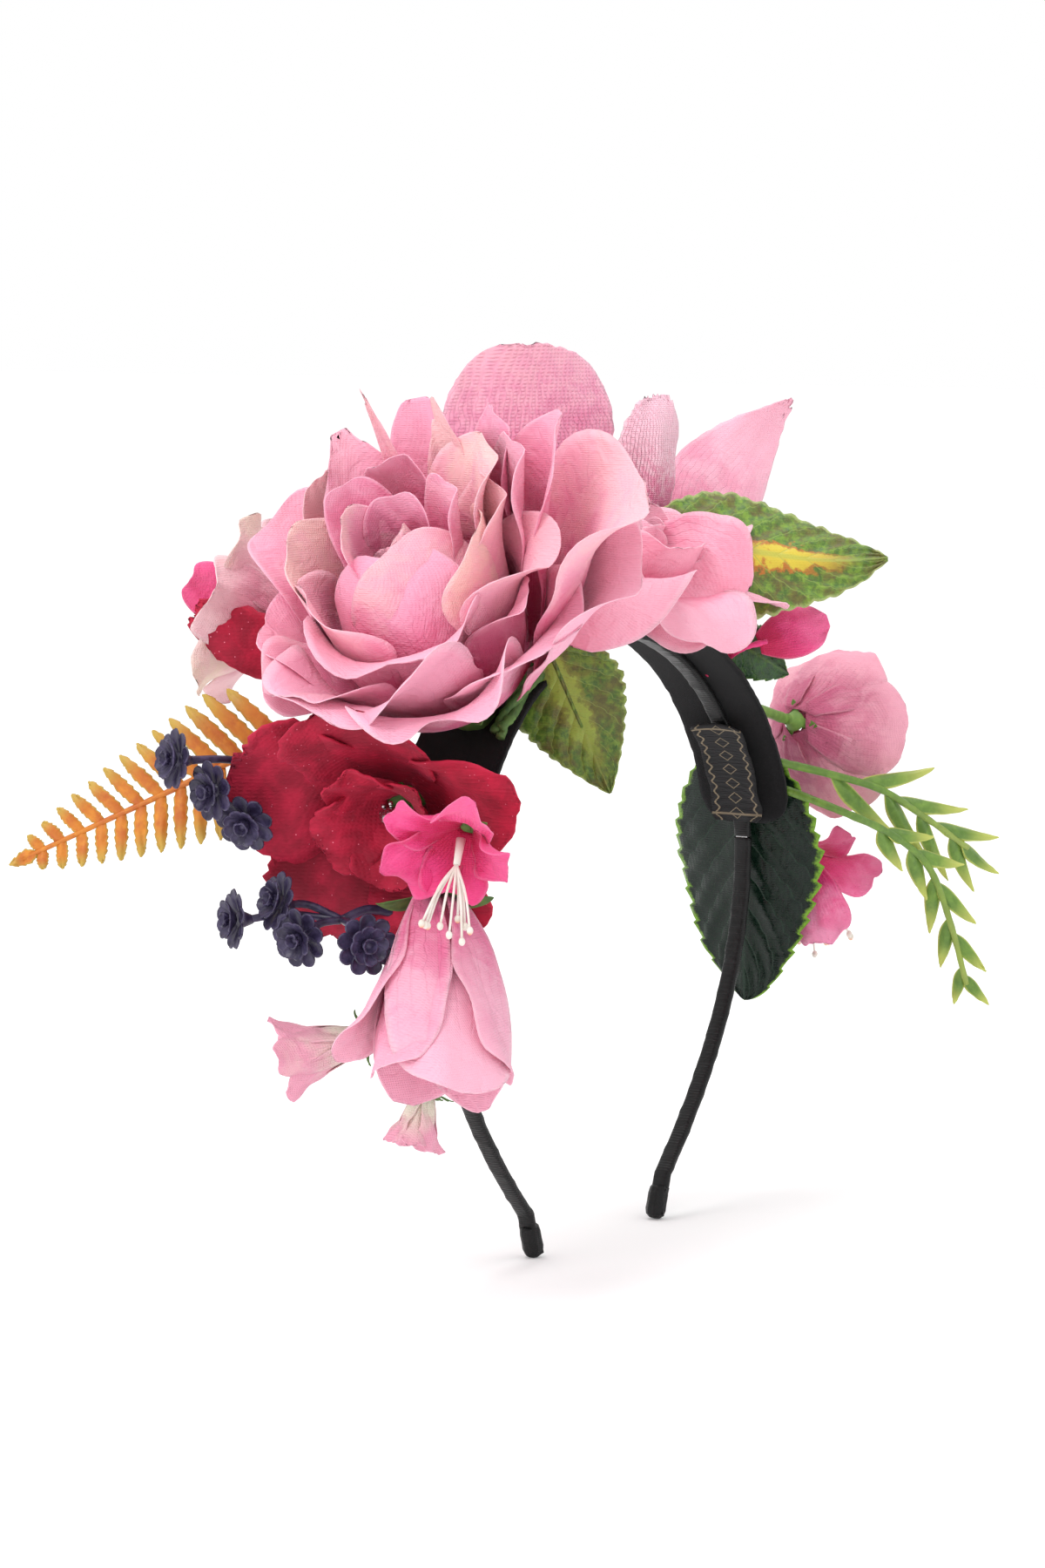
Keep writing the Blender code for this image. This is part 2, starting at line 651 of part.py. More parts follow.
def crown_rose():
    seat = seat_frame(CROWN_ROSE_RUN, 1 * MM)
    tilt_room = CROWN_ROSE_CALYX_RADIUS * math.sin(math.radians(CROWN_ROSE_NOD)) / 2
    lift = CROWN_ROSE_CALYX_HEIGHT + PETAL_THICKNESS / 2 + GAP + tilt_room
    flower = empty_at("crown_rose_seat", leaning(seat, (0, 0, lift), lean=-2, nod=CROWN_ROSE_NOD))
    calyx("crown_rose_calyx", flower, CROWN_ROSE_CALYX_RADIUS, CROWN_ROSE_CALYX_HEIGHT)
    petal_bowl(
        "crown_rose_outer_petals", PALE_PINK, flower, CROWN_ROSE_RADIUS, CROWN_ROSE_DROOP,
        arch=CROWN_ROSE_ARCH, power=3, crowding=0.48, crowd_turn=15,
    )
    petal_bowl(
        "crown_rose_inner_petals", PALE_PINK, flower, CROWN_ROSE_INNER_RADIUS, CROWN_ROSE_INNER_RISE,
        base=STACK + 1 * MM, power=1.1, notch=0.35,
    )
    back = seat_frame(CROWN_ROSE_RUN - 13 * MM, 5 * MM)
    blade(
        "crown_rose_back_petal", PEONY_PINK, leaning(back, (17 * MM, 21 * MM, 25 * MM), lean=-16, nod=-8, spin=45),
        BACK_PETAL_LENGTH, BACK_PETAL_WIDTH, widest=0.62, cup=0.25, thickness=PETAL_THICKNESS,
        stalk=3 * MM,
    )
    side = seat_frame(CROWN_ROSE_RUN + 22 * MM)
    blade(
        "velvet_petal", PALE_PINK, leaning(side, (-6.4 * MM, 8.4 * MM, 26.8 * MM), lean=-14, nod=-4, spin=55),
        VELVET_PETAL_LENGTH, VELVET_PETAL_WIDTH, cup=0.3, thickness=PETAL_THICKNESS, stalk=2 * MM,
    )
    blade(
        "shoulder_petal", PALE_PINK, leaning(side, (7 * MM, 4.7 * MM, 23.6 * MM), lean=36, nod=2, spin=70),
        SHOULDER_PETAL_LENGTH, SHOULDER_PETAL_WIDTH, widest=0.7, cup=0.3, fold=0.2,
        thickness=PETAL_THICKNESS, stalk=2 * MM,
    )


def crimson_flower():
    seat = seat_frame(CRIMSON_RUN, 5.7 * MM)
    lift = CRIMSON_CALYX_HEIGHT + PETAL_THICKNESS / 2 + GAP
    flower = empty_at("crimson_seat", leaning(seat, (-2 * MM, 0, lift), lean=-36, nod=9, spin=45))
    calyx("crimson_calyx", flower, CRIMSON_CALYX_RADIUS, CRIMSON_CALYX_HEIGHT)
    petal_bowl(
        "crimson_outer_petals", CRIMSON, flower, CRIMSON_RADIUS, CRIMSON_RISE, lobes=4, notch=0.45,
        crowding=CRIMSON_CROWDING, crowd_turn=-45, oval=CRIMSON_OVAL,
    )
    petal_bowl(
        "crimson_inner_petals", CRIMSON, flower, CRIMSON_INNER_RADIUS, CRIMSON_INNER_RISE, lobes=4,
        notch=0.3, base=STACK, crowding=CRIMSON_CROWDING, crowd_turn=-45, oval=CRIMSON_OVAL,
    )
    bead_lift = CRIMSON_INNER_RISE * 0.6
    profile = [(0, bead_lift + BEAD_RADIUS)]
    for step in range(1, 6):
        turn = math.pi * step / 6
        profile.append((BEAD_RADIUS * math.sin(turn), bead_lift + BEAD_RADIUS * math.cos(turn)))
    stalk = BEAD_RADIUS * 0.3
    foot = STACK + PETAL_THICKNESS / 2 + GAP
    profile += [(stalk, bead_lift - BEAD_RADIUS * 0.95), (stalk, foot), (0, foot)]
    turned("crimson_bead", profile, BEAD_SILVER, flower, steps=10)


def stamen_rod(name, frame, length, reach):
    """A fuchsia's white tube with its spreading tip, as one rod."""
    profile = [
        (0, length),
        (reach, length * 0.98),
        (reach * 0.4, length * 0.75),
        (0.9 * MM, length * 0.5),
        (0.9 * MM, STACK),
        (0, STACK),
    ]
    return turned(name, profile, STAMEN_WHITE, frame, steps=10)


def left_fuchsia():
    seat = seat_frame(FUCHSIA_RUN, -9 * MM)
    flower = empty_at("left_fuchsia_seat", leaning(seat, (0, -14.6 * MM, 22.6 * MM), lean=-52, nod=10))
    calyx("left_fuchsia_calyx", flower, 2 * MM, 5 * MM)
    petal_bowl("left_fuchsia_petals", HOT_PINK, flower, 14 * MM, 12 * MM, lobes=4, notch=0.4)
    stamen_rod("left_fuchsia_stamens", flower, 20 * MM, 4 * MM)


def drooping_rose():
    root_run = -SPLIT_RUN - FELT_SETBACK - 2 * STEM_RADIUS
    seat = seat_frame(root_run)
    below = CRIMSON_RUN - DROOPING_ROSE_DROP - root_run
    flower = empty_at("drooping_rose_seat", leaning(seat, (below, -10.7 * MM, 10.1 * MM), lean=-74, nod=6))
    root = seat_frame(root_run, -2 * MM, SEAT_LIFT + STEM_RADIUS).translation
    way = seat @ Vector((below - 2.9 * MM, -3 * MM, 4 * MM))
    stemmed_calyx("drooping_rose_calyx", flower, 4 * MM, 4 * MM, root, way)
    petal_bowl(
        "drooping_rose_outer_petals", PEONY_PINK, flower, DROOPING_ROSE_RADIUS, DROOPING_ROSE_LENGTH,
        power=1.7, notch=0.2,
    )
    petal_bowl(
        "drooping_rose_inner_petals", DUSTY_PINK, flower, DROOPING_ROSE_RADIUS * 0.55,
        DROOPING_ROSE_LENGTH * 0.55, power=1.5, notch=0.2, base=STACK + 1.5 * MM, lobes=4,
    )


def blossoms():
    """Two small white-pink blossoms under the drooping rose."""
    rear = leaning(seat_frame(REAR_BLOSSOM_RUN, 6 * MM), (2 * MM, 11 * MM, 6 * MM), lean=-8, nod=-55)
    low = leaning(seat_frame(LOW_BLOSSOM_RUN), (1 * MM, 3 * MM, 7 * MM), lean=-44, nod=-4)
    for name, frame, radius, length in (
        ("rear_blossom", rear, 8 * MM, 21 * MM),
        ("low_blossom", low, 6.5 * MM, 12 * MM),
    ):
        flower = empty_at(name + "_seat", frame)
        petal_bowl(name + "_petals", PALE_PINK, flower, radius, length, lobes=4, notch=0.3)
        calyx(name + "_calyx", flower, 2.6 * MM, 4 * MM)


def pale_flower():
    """The pale flower that looks out at the back, behind the peony."""
    seat = seat_frame(PEONY_RUN - 5 * MM, 9 * MM)
    reach = (18 * MM, PEONY_RADIUS - PALE_FLOWER_TUCK, 15 * MM)
    flower = empty_at("pale_flower_seat", leaning(seat, reach, lean=-37, nod=-59))
    petal_bowl("pale_flower_petals", PALE_PINK, flower, 17 * MM, 22 * MM, notch=0.3, power=1.3)
    turned(
        "pale_flower_heart",
        [(0, 13 * MM), (4 * MM, 10 * MM), (2 * MM, 6 * MM), (1 * MM, 2 * STACK), (0, 2 * STACK)],
        PALE_PINK,
        flower,
        steps=10,
    )
    root = seat @ Vector((0, 0, STEM_RADIUS))
    stemmed_calyx("pale_flower_calyx", flower, 3 * MM, 4 * MM, root)


def right_bloom():
    """The dusty pink flower that faces away on the right, on a bare green stem."""
    seat = seat_frame(SPLIT_RUN - RIGHT_BLOOM_ABOVE_SPLIT, RIGHT_BLOOM_ASIDE)
    flower = empty_at("right_bloom_seat", leaning(seat, RIGHT_BLOOM_REACH, lean=55, nod=9))
    petal_bowl("right_bloom_petals", DUSTY_PINK, flower, 21 * MM, 19 * MM, notch=0.35)
    petal_bowl(
        "right_bloom_inner_petals", DUSTY_PINK, flower, 12 * MM, 14 * MM, notch=0.3, base=STACK
    )
    root = seat @ Vector((0, 0, STEM_RADIUS))
    stemmed_calyx("right_bloom_calyx", flower, 4 * MM, 4 * MM, root)


def right_fuchsia():
    """The hot pink flower under the right bloom, a fixed way below it so that their petals stay clear."""
    bloom_seat = seat_frame(SPLIT_RUN - RIGHT_BLOOM_ABOVE_SPLIT, RIGHT_BLOOM_ASIDE)
    bloom = leaning(bloom_seat, RIGHT_BLOOM_REACH).translation
    facing = leaning(seat_frame(SPLIT_RUN - RIGHT_FUCHSIA_ABOVE_SPLIT), lean=62, nod=9).to_3x3().to_4x4()
    flower = empty_at("right_fuchsia_seat", Matrix.Translation(bloom + RIGHT_FUCHSIA_DROP) @ facing)
    calyx("right_fuchsia_calyx", flower, 2.4 * MM, 5 * MM)
    petal_bowl("right_fuchsia_petals", HOT_PINK, flower, 19 * MM, 14 * MM, lobes=4, notch=0.4)
    stamen_rod("right_fuchsia_stamens", flower, 21 * MM, 4 * MM)


# ---------------------------------------------------------------- leaves, fern and sprays


def broad_leaf():
    """The long dark leaf that hangs on the outside of the right leg."""
    start = seat_frame(SPLIT_RUN - BROAD_LEAF_ABOVE_SPLIT, 0.0, SEAT_LIFT + 8 * MM).translation
    start += BROAD_LEAF_LIFT
    end = Vector((HALF_WIDTH + BROAD_LEAF_SWING, start.y, start.z - BROAD_LEAF_LENGTH))
    blade(
        "broad_leaf", DARK_LEAF, aimed(start, end, (1, 0, 0)), BROAD_LEAF_LENGTH, BROAD_LEAF_WIDTH,
        arc=-2 * MM, fold=0.12, rows=9,
    )


def small_leaves():
    root = seat_frame(43 * MM, -5 * MM, SEAT_LIFT + 8 * MM).translation
    tip = root + Vector((22 * MM, -8 * MM, -12 * MM))
    blade("shoulder_leaf", DARK_LEAF, aimed(root, tip, VIEWER), 25 * MM, 14 * MM, fold=0.1)
    pink = seat_frame(49 * MM, -10 * MM, SEAT_LIFT + 1 * MM)
    blade(
        "hot_pink_petal", HOT_PINK, leaning(pink, (0, -4 * MM, 8 * MM), lean=38, nod=30, spin=70), 20 * MM,
        11 * MM, widest=0.6, cup=0.3, thickness=PETAL_THICKNESS,
    )


def variegated_leaf():
    """A leaf on a short wire: the wire stays in the crown, and the leaf bends at its end."""
    start = seat_frame(35 * MM, -6 * MM, SEAT_LIFT + WIRE_RADIUS).translation
    bend = start + Vector((-4 * MM, 3 * MM, 25 * MM))
    tip = bend + Vector((37 * MM, -44 * MM, 1 * MM))
    top = bend - Vector((0, 0, WIRE_RADIUS + GAP))
    tube("variegated_leaf_wire", [start, start.lerp(top, 0.5), top], WIRE_RADIUS, STEM_GREEN)
    holder = empty_at("variegated_leaf_pivot", aimed(bend, tip, VIEWER + Vector((0, 0, 0.5))))
    blade("variegated_leaf", LEAF_GREEN, holder, (tip - bend).length, 29 * MM, fold=0.2, arc=-2 * MM)


def hanging_leaf():
    seat = seat_frame(-34 * MM, -FELT_WIDTH / 2 - 0.5 * MM, SEAT_LIFT - FELT_THICKNESS / 2)
    bend = seat.translation + Vector((-5 * MM, -4 * MM, -1 * MM))
    tip = bend + Vector((4 * MM, -10 * MM, -33 * MM))
    holder = empty_at("hanging_leaf_pivot", aimed(bend, tip, VIEWER))
    blade("hanging_leaf", LEAF_GREEN, holder, (tip - bend).length, 24 * MM, fold=0.15)


def fern():
    """A feather of paired leaflets along a rib that droops to its tip."""
    bend = seat_frame(CRIMSON_RUN + 7.2 * MM, FELT_WIDTH / 2 + FERN_CLEARANCE).translation
    tip = bend + Vector((-40 * MM, 78 * MM, -24 * MM))
    frame = aimed(bend, tip, VIEWER)
    span = (tip - bend).length
    bare = span - FERN_LENGTH
    outline = []
    for side in (1, -1):
        edge = []
        for pair in range(FERN_PAIRS):
            share = pair / FERN_PAIRS
            near = bare + FERN_LENGTH * share
            pitch = FERN_LENGTH / FERN_PAIRS
            reach = FERN_LEAFLET * (1 - share) ** 0.8 + 1.5 * MM
            edge.append((side * 0.9 * MM, near))
            edge.append((side * reach, near + pitch * 1.1))
            edge.append((side * reach, near + pitch * 1.5))
            edge.append((side * 0.9 * MM, near + pitch * 0.75))
        outline += edge if side > 0 else edge[::-1]
        if side > 0:
            outline.append((0, span))
    outline.append((-0.9 * MM, 0))
    outline.insert(0, (0.9 * MM, 0))
    curve = bpy.data.curves.new("fern_frond", "CURVE")
    curve.dimensions = "2D"
    curve.fill_mode = "BOTH"
    curve.extrude = LEAF_THICKNESS
    spline = curve.splines.new("POLY")
    spline.points.add(len(outline) - 1)
    for point, (across, along) in zip(spline.points, outline):
        point.co = (across, along, 0, 1)
    spline.use_cyclic_u = True
    holder = empty_at("fern_pivot", frame)
    stood_up = Matrix.Rotation(math.radians(90), 4, "Z") @ Matrix.Rotation(math.radians(90), 4, "X")
    made = add("fern_frond", curve, FERN_ORANGE, holder)
    made.matrix_local = stood_up


def floret(name, place, facing):
    """A small moulded floret: a shallow toothed cup that opens towards facing."""
    return petal_bowl(
        name, BERRY_PLUM, aimed(place, place + facing, (0.1, 0.2, 1)), FLORET_RADIUS, FLORET_DEPTH,
        lobes=7, notch=0.2, power=1.3, rings=2, thickness=0.8 * MM,
    )


def floret_spray(name, start, heads, fork):
    """Plum florets and their forked stem, moulded in one piece.

    Each head is (place, direction it faces).
    """
    trunk = [start, start.lerp(fork, 0.5), fork]
    pieces = [tube(name + "_trunk", trunk, WIRE_RADIUS * 1.3, BERRY_PLUM, sides=1)]
    for number, (place, direction) in enumerate(heads):
        facing = Vector(direction).normalized()
        back = place - facing * 6 * MM
        route = smooth_route([fork, fork.lerp(back, 0.5), back, place], steps=3)
        pieces.append(tube(f"{name}_branch_{number}", route, WIRE_RADIUS, BERRY_PLUM, sides=1))
        pieces.append(floret(f"{name}_floret_{number}", place, facing))
    return joined(name, pieces, start)


def berry_sprays():
    upper_start = seat_frame(CRIMSON_RUN - 2 * MM, 12.5 * MM, SEAT_LIFT + 1 * MM).translation
    shift = upper_start - Vector((-70 * MM, 12.5 * MM, 111 * MM))
    heads = [
        (Vector((-104, 44, 123)) * MM + shift, (-0.7, 0.6, 0.35)),
        (Vector((-100, 50, 112)) * MM + shift, (-0.5, 0.8, 0.0)),
        (Vector((-96, 40, 101)) * MM + shift, (-0.7, 0.6, -0.4)),
    ]
    fork = Vector((-84, 31, 113)) * MM + shift
    floret_spray("upper_spray", upper_start, heads, fork)
    lower_start = seat_frame(DROOPING_ROSE_RUN + 2 * MM, 9 * MM, SEAT_LIFT + 1 * MM).translation
    shift = lower_start - Vector((-72 * MM, 9 * MM, 86 * MM))
    heads = [
        (Vector((-92, 36, 84)) * MM + shift, (-0.6, 0.7, -0.1)),
        (Vector((-91, 24, 77)) * MM + shift, (-0.7, 0.4, -0.6)),
        (Vector((-98, 10, 81)) * MM + shift, (-0.9, -0.3, -0.2)),
    ]
    fork = Vector((-82, 16, 85)) * MM + shift
    floret_spray("lower_spray", lower_start, heads, fork)


def leafy_spray(name, start, route, leaves):
    """A trailing stem with small leaves, moulded in one piece.

    Each leaf is (share of the stem, direction, length, width).
    """
    line = smooth_route([start, *route], steps=4)
    pieces = [tube(name + "_stem", line, WIRE_RADIUS, SPRAY_GREEN, sides=1)]
    for number, (share, direction, length, width) in enumerate(leaves):
        place = line[round(share * (len(line) - 1))]
        frame = aimed(place, place + Vector(direction), (0.3, 0.2, 1))
        piece = blade(
            f"{name}_leaf_{number}", SPRAY_GREEN, frame, length * MM, width * MM, rows=4, columns=2,
            thickness=0.8 * MM,
        )
        pieces.append(piece)
    return joined(name, pieces, start)


def greenery():
    edge = -FELT_WIDTH / 2 + 1.5 * MM
    narrow_start = seat_frame(79 * MM, edge, SEAT_LIFT + WIRE_RADIUS).translation
    shift = narrow_start - Vector((68, -11, 109)) * MM
    stops = ((76, -20, 106), (90, -28, 101), (104, -33, 93), (118, -38, 84))
    route = [Vector(place) * MM + shift for place in stops]
    leaves = (
        (0.6, (0.7, -0.1, -0.7), 22, 4),
        (0.7, (0.8, -0.2, -0.5), 22, 4),
        (0.85, (0.5, -0.5, -0.6), 22, 4.5),
        (1.0, (0.6, -0.2, -0.7), 17, 4),
    )
    leafy_spray("narrow_leaf_spray", narrow_start, route, leaves)
    trailing_start = seat_frame(86 * MM, edge, SEAT_LIFT + WIRE_RADIUS).translation
    shift = trailing_start - Vector((70, -11, 102)) * MM
    stops = ((73, -26, 97), (88, -32, 90), (100, -36, 81), (106, -39, 67), (110, -42, 50))
    route = [Vector(place) * MM + shift for place in stops]
    leaves = (
        (0.5, (0.2, -0.9, -0.3), 16, 7),
        (0.6, (0.9, 0.2, -0.4), 13, 6),
        (0.78, (0.8, -0.5, -0.5), 13, 6),
        (0.95, (-0.3, 0.5, -0.9), 9, 4),
        (1.0, (0.9, -0.4, -0.2), 10, 4),
    )
    leafy_spray("trailing_spray", trailing_start, route, leaves)


def hang_on_leg(side, names):
    """Parents a leg's pieces to an empty on the band's split, where the leg flexes."""
    bpy.context.view_layer.update()
    centre = seat_frame(side * SPLIT_RUN, 0, 0).translation
    holder = empty_at("left_leg_flex" if side < 0 else "right_leg_flex", Matrix.Translation(centre))
    bpy.context.view_layer.update()
    for name in names:
        piece = bpy.data.objects[name]
        place = piece.matrix_world.copy()
        piece.parent = holder
        piece.matrix_world = place


headband()
tip_caps()
felt_and_label()
stem_bundle()
peony()
crown_rose()
crimson_flower()
left_fuchsia()
drooping_rose()
blossoms()
pale_flower()
right_bloom()
right_fuchsia()
broad_leaf()
small_leaves()
variegated_leaf()
hanging_leaf()
fern()
berry_sprays()
greenery()
hang_on_leg(
    -1,
    (
        "spring_strip_left_leg", "satin_sleeve_left_leg", "tip_cap_left", "felt_left_leg",
        "drooping_rose_seat", "drooping_rose_calyx", "rear_blossom_seat", "low_blossom_seat", "lower_spray",
    ),
)
hang_on_leg(1, ("spring_strip_right_leg", "satin_sleeve_right_leg", "tip_cap_right"))
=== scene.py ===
"""The finished look of a flower crown: a satin headband dressed with silk flowers, leaves, a fern,
plum florets and trailing greenery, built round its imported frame.

X runs across the head, -Y is the front and +Z is up. Sizes are in metres, written as so many MM.

Every petal and leaf is cut on one grid by sheet_of_cloth(). A flower has a place: a matrix with
its middle at the origin, Z along its axis and X towards the side it is looked at from, so that a
petal's turn is 0 at that side, 90 to the right of it and 180 behind.
"""

import json
import math
import random

import bmesh
import bpy
import numpy as np
from mathutils import Matrix, Vector, noise


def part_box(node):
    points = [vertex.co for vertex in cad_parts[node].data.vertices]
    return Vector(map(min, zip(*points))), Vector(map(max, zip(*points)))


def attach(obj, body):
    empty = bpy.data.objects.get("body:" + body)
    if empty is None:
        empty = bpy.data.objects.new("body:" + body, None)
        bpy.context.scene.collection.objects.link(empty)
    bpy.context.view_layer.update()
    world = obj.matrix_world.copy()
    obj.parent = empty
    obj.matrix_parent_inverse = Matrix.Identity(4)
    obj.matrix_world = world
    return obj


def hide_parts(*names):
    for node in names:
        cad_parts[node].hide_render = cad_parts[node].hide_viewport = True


MM = 0.001

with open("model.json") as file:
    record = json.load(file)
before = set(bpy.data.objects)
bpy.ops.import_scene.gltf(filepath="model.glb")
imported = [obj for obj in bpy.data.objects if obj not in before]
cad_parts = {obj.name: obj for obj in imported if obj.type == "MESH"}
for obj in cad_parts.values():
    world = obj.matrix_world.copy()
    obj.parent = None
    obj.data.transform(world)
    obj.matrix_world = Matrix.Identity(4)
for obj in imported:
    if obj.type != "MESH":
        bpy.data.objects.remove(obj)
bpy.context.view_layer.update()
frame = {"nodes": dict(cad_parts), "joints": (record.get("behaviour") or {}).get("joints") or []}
NODES = frame["nodes"]
JOINTS = {joint["name"]: joint for joint in frame["joints"]}

# The side that the crown is looked at from.
LOOK_AZIMUTH = math.radians(-57.6)
LOOK_RISE = math.radians(7.0)
LOOK_AT = Vector((0, 0, 95 * MM))
LOOK_FROM = 1.2
LENS = 114.8
SENSOR = 36
SHIFT = (-0.0467, 0.0411)
TOWARDS_VIEWER = Vector((
    math.sin(LOOK_AZIMUTH) * math.cos(LOOK_RISE),
    -math.cos(LOOK_AZIMUTH) * math.cos(LOOK_RISE),
    math.sin(LOOK_RISE),
))
VIEW_RIGHT = Vector((math.cos(LOOK_AZIMUTH), math.sin(LOOK_AZIMUTH), 0))
VIEW_UP = TOWARDS_VIEWER.cross(VIEW_RIGHT)

CLOTH = 0.2 * MM
WAXED_CLOTH = 0.35 * MM
MOULDED = 0.5 * MM


# ---------------------------------------------------------------- where things are


def smooth(low, high, value):
    share = min(1.0, max(0.0, (value - low) / (high - low)))
    return share * share * (3 - 2 * share)


def points_of(node):
    return [vert.co.copy() for vert in NODES[node].data.vertices]


def middle(node):
    places = points_of(node)
    return sum(places, Vector()) / len(places)


def joint_place(name):
    return Vector(JOINTS[name]["pos_m"])


def turned_to(z_axis, x_hint, origin):
    """A matrix with Z along z_axis and X as near to x_hint as it can be."""
    z_axis = Vector(z_axis).normalized()
    y_axis = z_axis.cross(Vector(x_hint)).normalized()
    turn = Matrix((y_axis.cross(z_axis), y_axis, z_axis)).transposed().to_4x4()
    return Matrix.Translation(Vector(origin)) @ turn


def turned_flower_place(lower, upper):
    """The place of a flower whose axis runs through the middles of two turned parts."""
    foot = middle(lower)
    axis = middle(upper) - foot
    top = max((place - foot).dot(axis.normalized()) for place in points_of(lower))
    return turned_to(axis, TOWARDS_VIEWER, foot + axis.normalized() * top)


def blade_place(node, near):
    """The place and length of a leaf or petal: from its root, nearest to a point, to its tip.

    Z runs to the tip and X is the way its face looks, towards the viewer.
    """
    places = points_of(node)
    share = max(3, len(places) // 20)
    root = sum(sorted(places, key=lambda p: (p - near).length)[:share], Vector()) / share
    tip = sum(sorted(places, key=lambda p: -(p - root).length)[:share], Vector()) / share
    flat = np.linalg.eigh(np.cov(np.array([p - root for p in places]).T))[1][:, 0]
    face = Vector(flat) * (1 if Vector(flat).dot(TOWARDS_VIEWER) > 0 else -1)
    return turned_to(tip - root, face, root), (tip - root).length


def round_route(ends, steps=8):
    """Points on a smooth line through a few chosen ones."""
    places = [Vector(end) for end in ends]
    padded = [places[0] * 2 - places[1], *places, places[-1] * 2 - places[-2]]
    route = []
    for one, two, three, four in zip(padded, padded[1:], padded[2:], padded[3:]):
        for step in range(steps):
            t = step / steps
            place = two * (2 * t**3 - 3 * t**2 + 1) + three * (3 * t**2 - 2 * t**3)
            place += (three - one) * 0.5 * (t**3 - 2 * t**2 + t)
            place += (four - two) * 0.5 * (t**3 - t**2)
            route.append(place)
    return [*route, places[-1]]


# ---------------------------------------------------------------- making pieces

MARKS = ("across", "along", "rim", "tint", "patch")


class Piece:
    """A piece being made: its cloth, tubes and beads gather in one mesh until it is finished.

    Each point carries marks that the finishes read: how far across and along its petal it is, how
    near the rim, the petal's own tint, and how much of a second colour it takes.
    """

    def __init__(self, name):
        self.name = name
        self.bm = bmesh.new()
        self.marks = {mark: self.bm.verts.layers.float.new(mark) for mark in MARKS}
        self.materials = []

    def mark(self, vert, **values):
        for name, value in values.items():
            vert[self.marks[name]] = value

    def cloth_area(self):
        return sum(face.calc_area() for face in self.bm.faces)

    def finish(self, material, body, stands_for=(), thickness=0.0):
        """The piece as an object that rides on a body and stands for its CAD nodes."""
        mesh = bpy.data.meshes.new(self.name)
        self.bm.to_mesh(mesh)
        self.bm.free()
        mesh.shade_smooth()
        made = bpy.data.objects.new(self.name, mesh)
        bpy.context.scene.collection.objects.link(made)
        mesh.materials.append(material)
        if thickness:
            shell = made.modifiers.new("thickness", "SOLIDIFY")
            shell.thickness = thickness
            shell.offset = 0
        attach(made, body)
        if stands_for:
            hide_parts(*stands_for)
        return made


def outline(along, broad, tip, point, stalk):
    """The half width of a petal at a share of its length, as a share of its widest."""
    if along < broad:
        return stalk + (1 - stalk) * math.sin(math.pi / 2 * along / broad)
    past = (along - broad) / (1 - broad)
    return max(0.0, 1 - past**tip) ** point + 0.015


def midline(length, lean_from, lean_to, hook, steps=40):
    """Points (out, up, lean) down the middle of a petal, from its root to its tip.

    Its lean from upright goes from one angle to the other, and the hook is added over its end.
    """
    line = [(0.0, 0.0, math.radians(lean_from))]
    for step in range(1, steps + 1):
        share = step / steps
        lean = lean_from + (lean_to - lean_from) * share + hook * smooth(0.62, 1.0, share)
        lean = math.radians(lean)
        out, up, _ = line[-1]
        line.append((out + math.sin(lean) * length / steps, up + math.cos(lean) * length / steps, lean))
    return line


